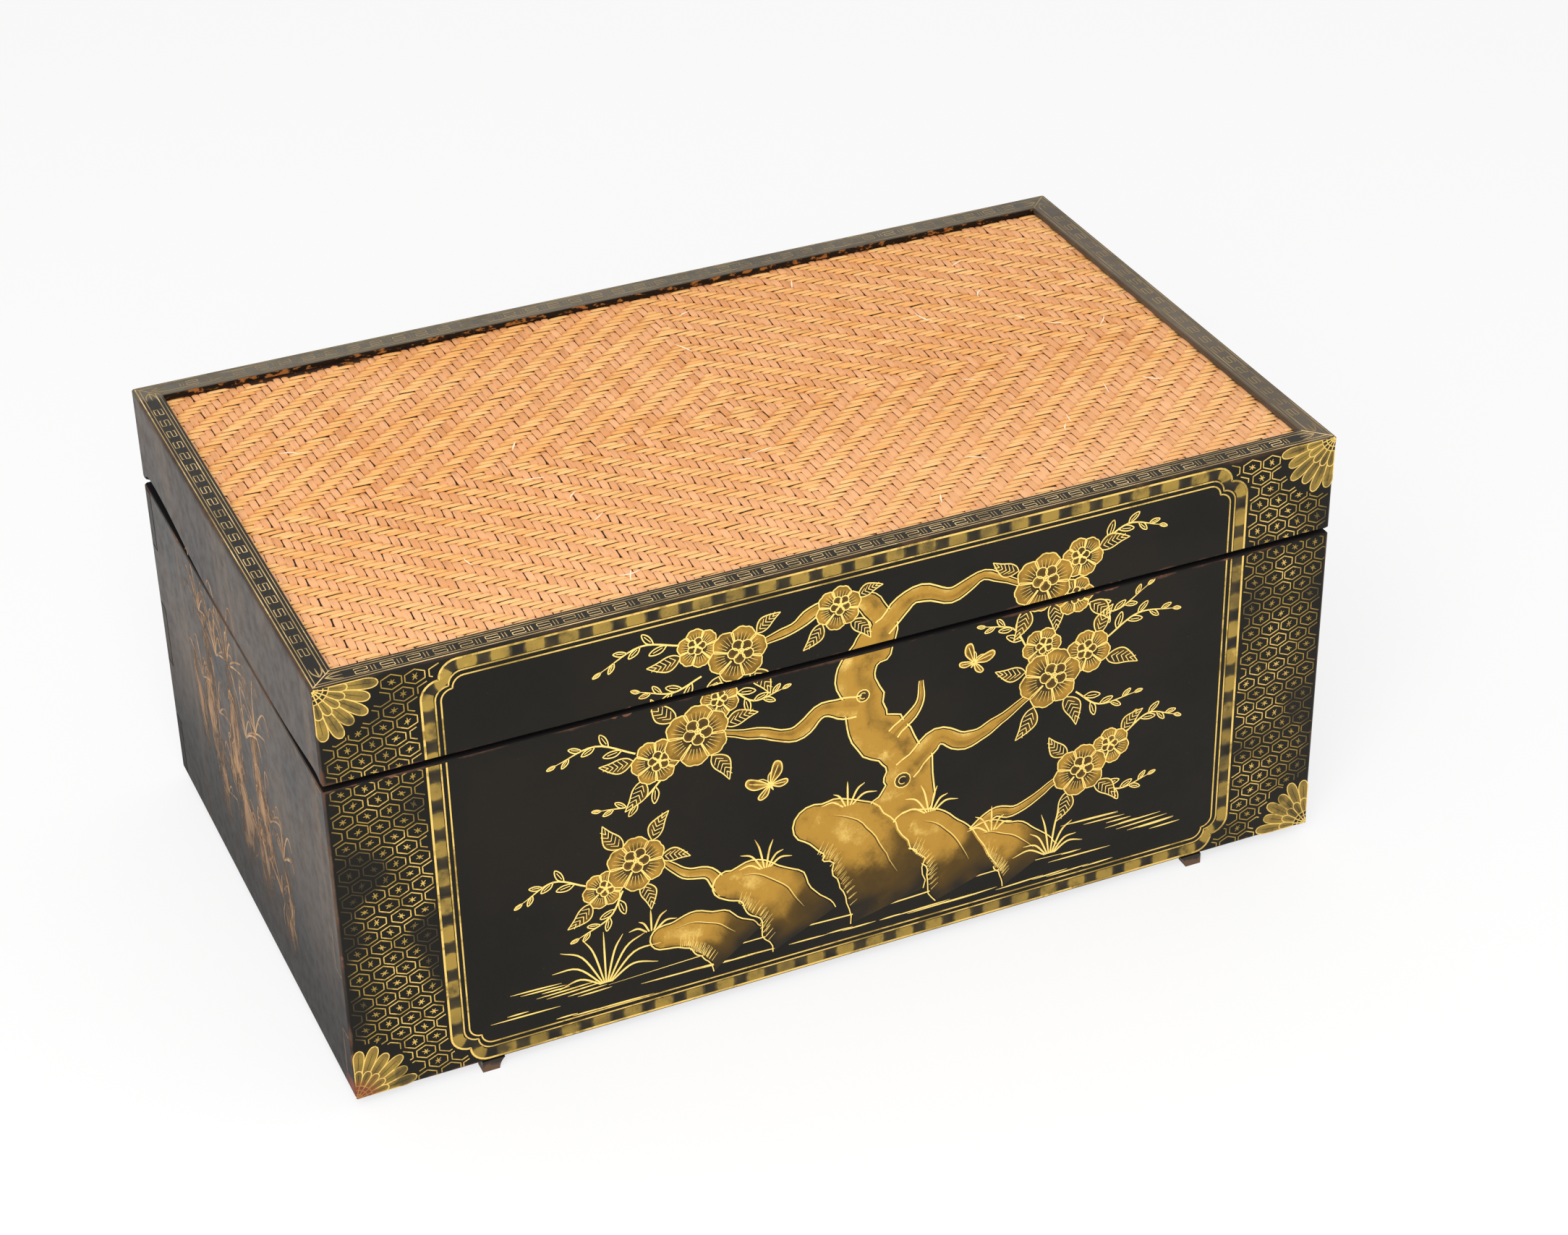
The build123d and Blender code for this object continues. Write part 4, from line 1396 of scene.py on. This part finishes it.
def cane_finish(name, pale, deep, ends, stretch):
    """Split cane with fibres along its length, a darker orange at the float ends as painted shade."""
    f = Finish(name)
    fibres = f.noise(900.0, 4.0, 0.7, stretch) * 0.5 + f.noise(380.0, 2.0, 0.5, stretch) * 0.5
    patches = f.noise(9.0, 4.0, 0.6)
    tone = f.attribute("tone") * 0.20 + 0.5
    near_front = f.step(middle_y - f.parts()[1], 0.0, half_depth)
    colour = f.mix(deep, pale, f.step(tone + (patches - 0.5) * 0.8, 0.0, 1.0))
    colour = f.mix(colour, darker(deep, 0.55), f.step(fibres, 0.50, 0.68) * 0.55)
    # Painted shade: a darker orange where a float dives under the crossing strip.
    colour = f.mix(colour, ends, f.step(f.attribute("dive"), 0.08, 0.80) * 0.95)
    colour = f.mix(colour, front_pale, near_front * 0.22)
    normal = f.bump(fibres, 0.0003, 0.5)
    return f.set(Base_Color=colour, Roughness=0.42 + fibres * 0.2, Normal=normal, Specular_IOR_Level=0.25)


# One cane in two colours: the weft's lighter colour is painted light, the warp's darker, pinker one painted
# shade.
lit_weft_cane = cane_finish("lit_weft_cane", (1.00, 0.575, 0.225), (0.87, 0.390, 0.104), (0.58, 0.200, 0.034),
                        along_length)
shaded_warp_cane = cane_finish("shaded_warp_cane", (0.91, 0.465, 0.212), (0.73, 0.305, 0.103), (0.44, 0.148, 0.034),
                        along_depth)
print("canes:", lit_weft_cane.name, shaded_warp_cane.name)

# %% [markdown]
# Strips are counted from the one where the diamonds turn round. A crossing shows the strip from end to end
# (the weft) or the other one (the warp) by the sum of its two counts. Along the left part of the back rim the
# mat is torn, so strips there stop short.

# %% The twill and its torn edge
pivot_across = 19.0 * MM
torn_reach = 9.0 * MM
torn_from, torn_to = -0.395, -0.165


def strip_numbers(low, high, pitch, pivot):
    """The numbers of the strips that fill a span, counted from the pivot strip."""
    first = math.ceil((low + pitch / 2 - pivot) / pitch)
    last = math.floor((high - pitch / 2 - pivot) / pitch)
    return list(range(first, last + 1))


def runs(flags):
    """Stretches of neighbouring True values as (first, last)."""
    found = []
    for i, flag in enumerate(flags):
        if flag and found and found[-1][1] == i - 1:
            found[-1][1] = i
        elif flag:
            found.append([i, i])
    return found


def torn_edge(x):
    """How far back the weave reaches at x."""
    if not torn_from < x < torn_to:
        return mat_high.y
    ends = min(1.0, (x - torn_from) / 0.04, (torn_to - x) / 0.08)
    return rim_edge - torn_reach * ends * (0.45 + 0.55 * drift(x, 0.0, 1 / 60, 2.6))


columns = strip_numbers(mat_low.x, mat_high.x, warp_pitch * MM, pivot_across)
rows = strip_numbers(mat_low.y, mat_high.y, weft_pitch * MM, middle_y)
weft_on_top = np.array([[(abs(c) + abs(r)) % 6 < 3 for c in columns] for r in rows])
print("twill of", len(columns), "by", len(rows), "strips")

# %% [markdown]
# The weave is made strip by strip. No two strips of cane are alike: each has its own tone, width and place,
# and each float its own rise and a slight turn.

# %% The weave
weave_low = mat_low.z + 0.9 * MM
weave_rise = 1.75 * MM
strip_thick = 0.55 * MM
crown = 0.42 * MM
overlap = 0.42
slack_share = {True: 0.412, False: 0.484}
pinch_share = {True: 0.50, False: 0.44}
crease_angle = math.radians(40)
loom = np.random.default_rng(7)


def weave(name, along_x, finish):
    """All the floats of one direction as one mesh; tone varies from strip to strip and float to float."""
    flags = weft_on_top if along_x else ~weft_on_top.T
    lines, crossings = (rows, columns) if along_x else (columns, rows)
    pitch, step = (weft_pitch, warp_pitch) if along_x else (warp_pitch, weft_pitch)
    pitch, step = pitch * MM, step * MM
    line_zero, cross_zero = (middle_y, pivot_across) if along_x else (pivot_across, middle_y)
    low, high = (mat_low.x, mat_high.x) if along_x else (mat_low.y, mat_high.y)
    s, t, side = float_points.T
    points, faces, tones, dives = [], [], [], []
    for i, number in enumerate(lines):
        centre = line_zero + number * pitch
        strip_tone = loom.normal(0, 0.5)
        strip_shift = loom.normal(0, 0.03) * pitch
        half_width = pitch * (slack_share[along_x] + 0.012 * loom.normal())
        for first, last in runs(flags[i]):
            near = max(low, cross_zero + (crossings[first] - 0.5 - overlap) * step)
            far = min(high, cross_zero + (crossings[last] + 0.5 + overlap) * step)
            if along_x and centre > torn_edge((near + far) / 2):
                continue
            if not along_x:
                far = min(far, torn_edge(centre) + 2.0 * MM)
            if far - near < step:
                continue
            rise = np.interp(s, float_stations, station_heights) * (1 + 0.10 * loom.normal())
            skew, shift = loom.normal(0, 0.05, 2) * pitch
            width = half_width * (1 - pinch_share[along_x] * np.abs(s) ** 2.5)
            a = (near + far) / 2 + s * (far - near) / 2
            b = centre + strip_shift + 0.25 * shift + t * width + skew * s
            h = weave_low + np.clip(rise, 0, 1.08) * weave_rise - crown * t ** 2
            h -= np.where(side < 0, strip_thick, 0)
            start = len(points)
            points += list(np.stack([a, b, h] if along_x else [b, a, h], 1))
            faces += [tuple(start + k for k in face) for face in float_faces]
            tones += [strip_tone + loom.normal(0, 0.45)] * len(s)
            dives += list(np.abs(s) ** 3)
    made = new_piece(name, points, faces, finish, tone=tones, dive=dives)
    bpy.ops.object.shade_smooth_by_angle(angle=crease_angle)
    print(name, len(faces), "faces")
    return made


mat_weft = weave("mat_weft", True, lit_weft_cane)
mat_warp = weave("mat_warp", False, shaded_warp_cane)
for piece in (mat_weft, mat_warp):
    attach(piece, "lid")

# %% [markdown]
# Here and there a strip has split, and a pale splinter stands off the weave. Each is the same float again,
# drawn thin and narrowed to a point.

# %% Splinters
splinter_count = 26
splinter_thick = 0.4 * MM


def splinters(finish):
    """Pale splinters strewn over the mat."""
    points, faces = [], []
    s, t, side = float_points.T
    for _ in range(splinter_count):
        at_x, at_y = loom.uniform(-0.37, 0.37), loom.uniform(-0.21, 0.20)
        turn = loom.normal(0, 0.5) + (0 if loom.uniform() < 0.6 else math.pi / 2)
        half, width = loom.uniform(4.0, 9.5) * MM, loom.uniform(0.5, 0.9) * MM
        bow = loom.normal(0, 1.2) * MM * s ** 2
        along, across = s * half, t * width * (1 - 0.75 * np.abs(s) ** 1.5) + bow
        x = at_x + along * math.cos(turn) - across * math.sin(turn)
        y = at_y + along * math.sin(turn) + across * math.cos(turn)
        lifted = loom.uniform(0.3, 1.3) * MM * (0.5 + 0.5 * s)
        z = weave_low + weave_rise + lifted + 0.1 * MM - np.where(side < 0, splinter_thick, 0)
        start = len(points)
        points += list(np.stack([x, y, z], 1))
        faces += [tuple(start + k for k in face) for face in float_faces]
    return new_piece("mat_splinters", points, faces, finish)


f = Finish("split_cane")
split_colour = f.mix((0.93, 0.70, 0.42), (0.97, 0.82, 0.62), f.noise(200.0))
split_cane = splinters(f.set(Base_Color=split_colour, Roughness=0.6))
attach(split_cane, "lid")
print(split_cane.name, splinter_count, "splinters")

# %% [markdown]
# Under the strips lies a thin dark sheet, painted shade in the gaps of the weave, so that no light shows
# through the weave. It takes the place of the plain mat in the imported model. Where the mat is torn, bits of
# cane lie on it.

# %% Dark sheet under the weave, painted shade
sheet_thick = 0.6 * MM


def mat_shade_sheet(finish):
    """A sheet as large as the mat, from a cube."""
    bpy.ops.object.select_all(action="DESELECT")
    bpy.ops.mesh.primitive_cube_add(size=1.0)
    sheet = bpy.context.object
    sheet.name = "mat_shade_sheet"
    middle = (mat_high + mat_low) / 2
    bpy.ops.transform.resize(value=(mat_high.x - mat_low.x, mat_high.y - mat_low.y, sheet_thick))
    bpy.ops.transform.translate(value=(middle.x, middle.y, mat_low.z + sheet_thick / 2))
    bpy.ops.object.transform_apply(location=True, rotation=False, scale=True)
    edit(sheet, bpy.ops.mesh.subdivide, number_cuts=6)
    sheet.data.materials.append(finish)
    return sheet


f = Finish("mat_shade_sheet")
# Painted shade: the sheet's dark brown stands for the shade in the gaps between the strips.
mottle = f.mix((0.050, 0.018, 0.005), (0.014, 0.006, 0.002), f.noise(300.0))
torn_bits = f.step(f.noise(120.0, 3.0), 0.56, 0.62) * f.step(f.parts()[1], rim_edge - torn_reach, rim_edge)
ground = mat_shade_sheet(f.set(Base_Color=f.mix(mottle, (0.42, 0.15, 0.03), torn_bits), Roughness=0.8))
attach(ground, "lid")
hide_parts("cane_mat")
print("mat ground under", len(columns), "by", len(rows), "strips")

# %% [markdown]
# ## Floor and light
# The chest stands on a plain white floor in soft light: a bright, even sky and one large lamp high in front,
# a little to the left. The camera and mirror-like surfaces see the sky as plain white and the floor as nearly
# plain white, so that only a faint shadow shows where the chest stands. The light that falls on the chest is
# weaker, so that its colours come out as they are written.

# %% Floor, sky and lamp
floor_white_share = 0.70
sky_light = 0.70
plain_white = (1.0, 1.0, 1.0)


def seen_white(f):
    """1 for rays that show things, from the camera, a shine or glass, and 0 for rays that light them."""
    kinds = ("Camera", "Glossy", "Transmission")
    first, second, third = [f.node("ShaderNodeLightPath", output=f"Is {kind} Ray") for kind in kinds]
    return f.larger(f.larger(first, second), third)


bpy.ops.mesh.primitive_plane_add(size=40.0)
floor = bpy.context.object
floor.name = "floor"
f = Finish("floor")
floor.data.materials.append(f.set(Base_Color=(0.95, 0.95, 0.945), Roughness=0.9, Specular_IOR_Level=0.0))
white = f.node("ShaderNodeEmission", inputs={"Color": plain_white, "Strength": 1.0})
share = seen_white(f) * floor_white_share
shown = f.node("ShaderNodeMixShader", inputs={0: share, 1: Wire(f, f.shader.outputs[0]), 2: white})
f.feed(f.tree.nodes["Material Output"].inputs["Surface"], shown)

sky = Finish("sky", bpy.data.worlds.new("sky"), "Background")
bpy.context.scene.world = sky.owner
levels = {"Value": seen_white(sky), "To Min": sky_light, "To Max": 1.0}
sky.set(Strength=sky.node("ShaderNodeMapRange", inputs=levels), Color=plain_white)

lamp_place = Vector((-1.4, -2.5, 2.5))
bpy.ops.object.light_add(type="AREA", location=lamp_place)
lamp = bpy.context.object
lamp.name = "soft_lamp"
lamp.data.size = 2.2
lamp.data.energy = 95.0
lamp.rotation_euler = (Vector((0, 0, 0.2)) - lamp_place).to_track_quat("-Z", "Y").to_euler()
print("lamp of", lamp.data.energy, "watts at", tuple(lamp_place))

# %% [markdown]
# Last, the colours are shown as they are, without a film look.

# %% Finish
bpy.context.scene.view_settings.view_transform = "Standard"
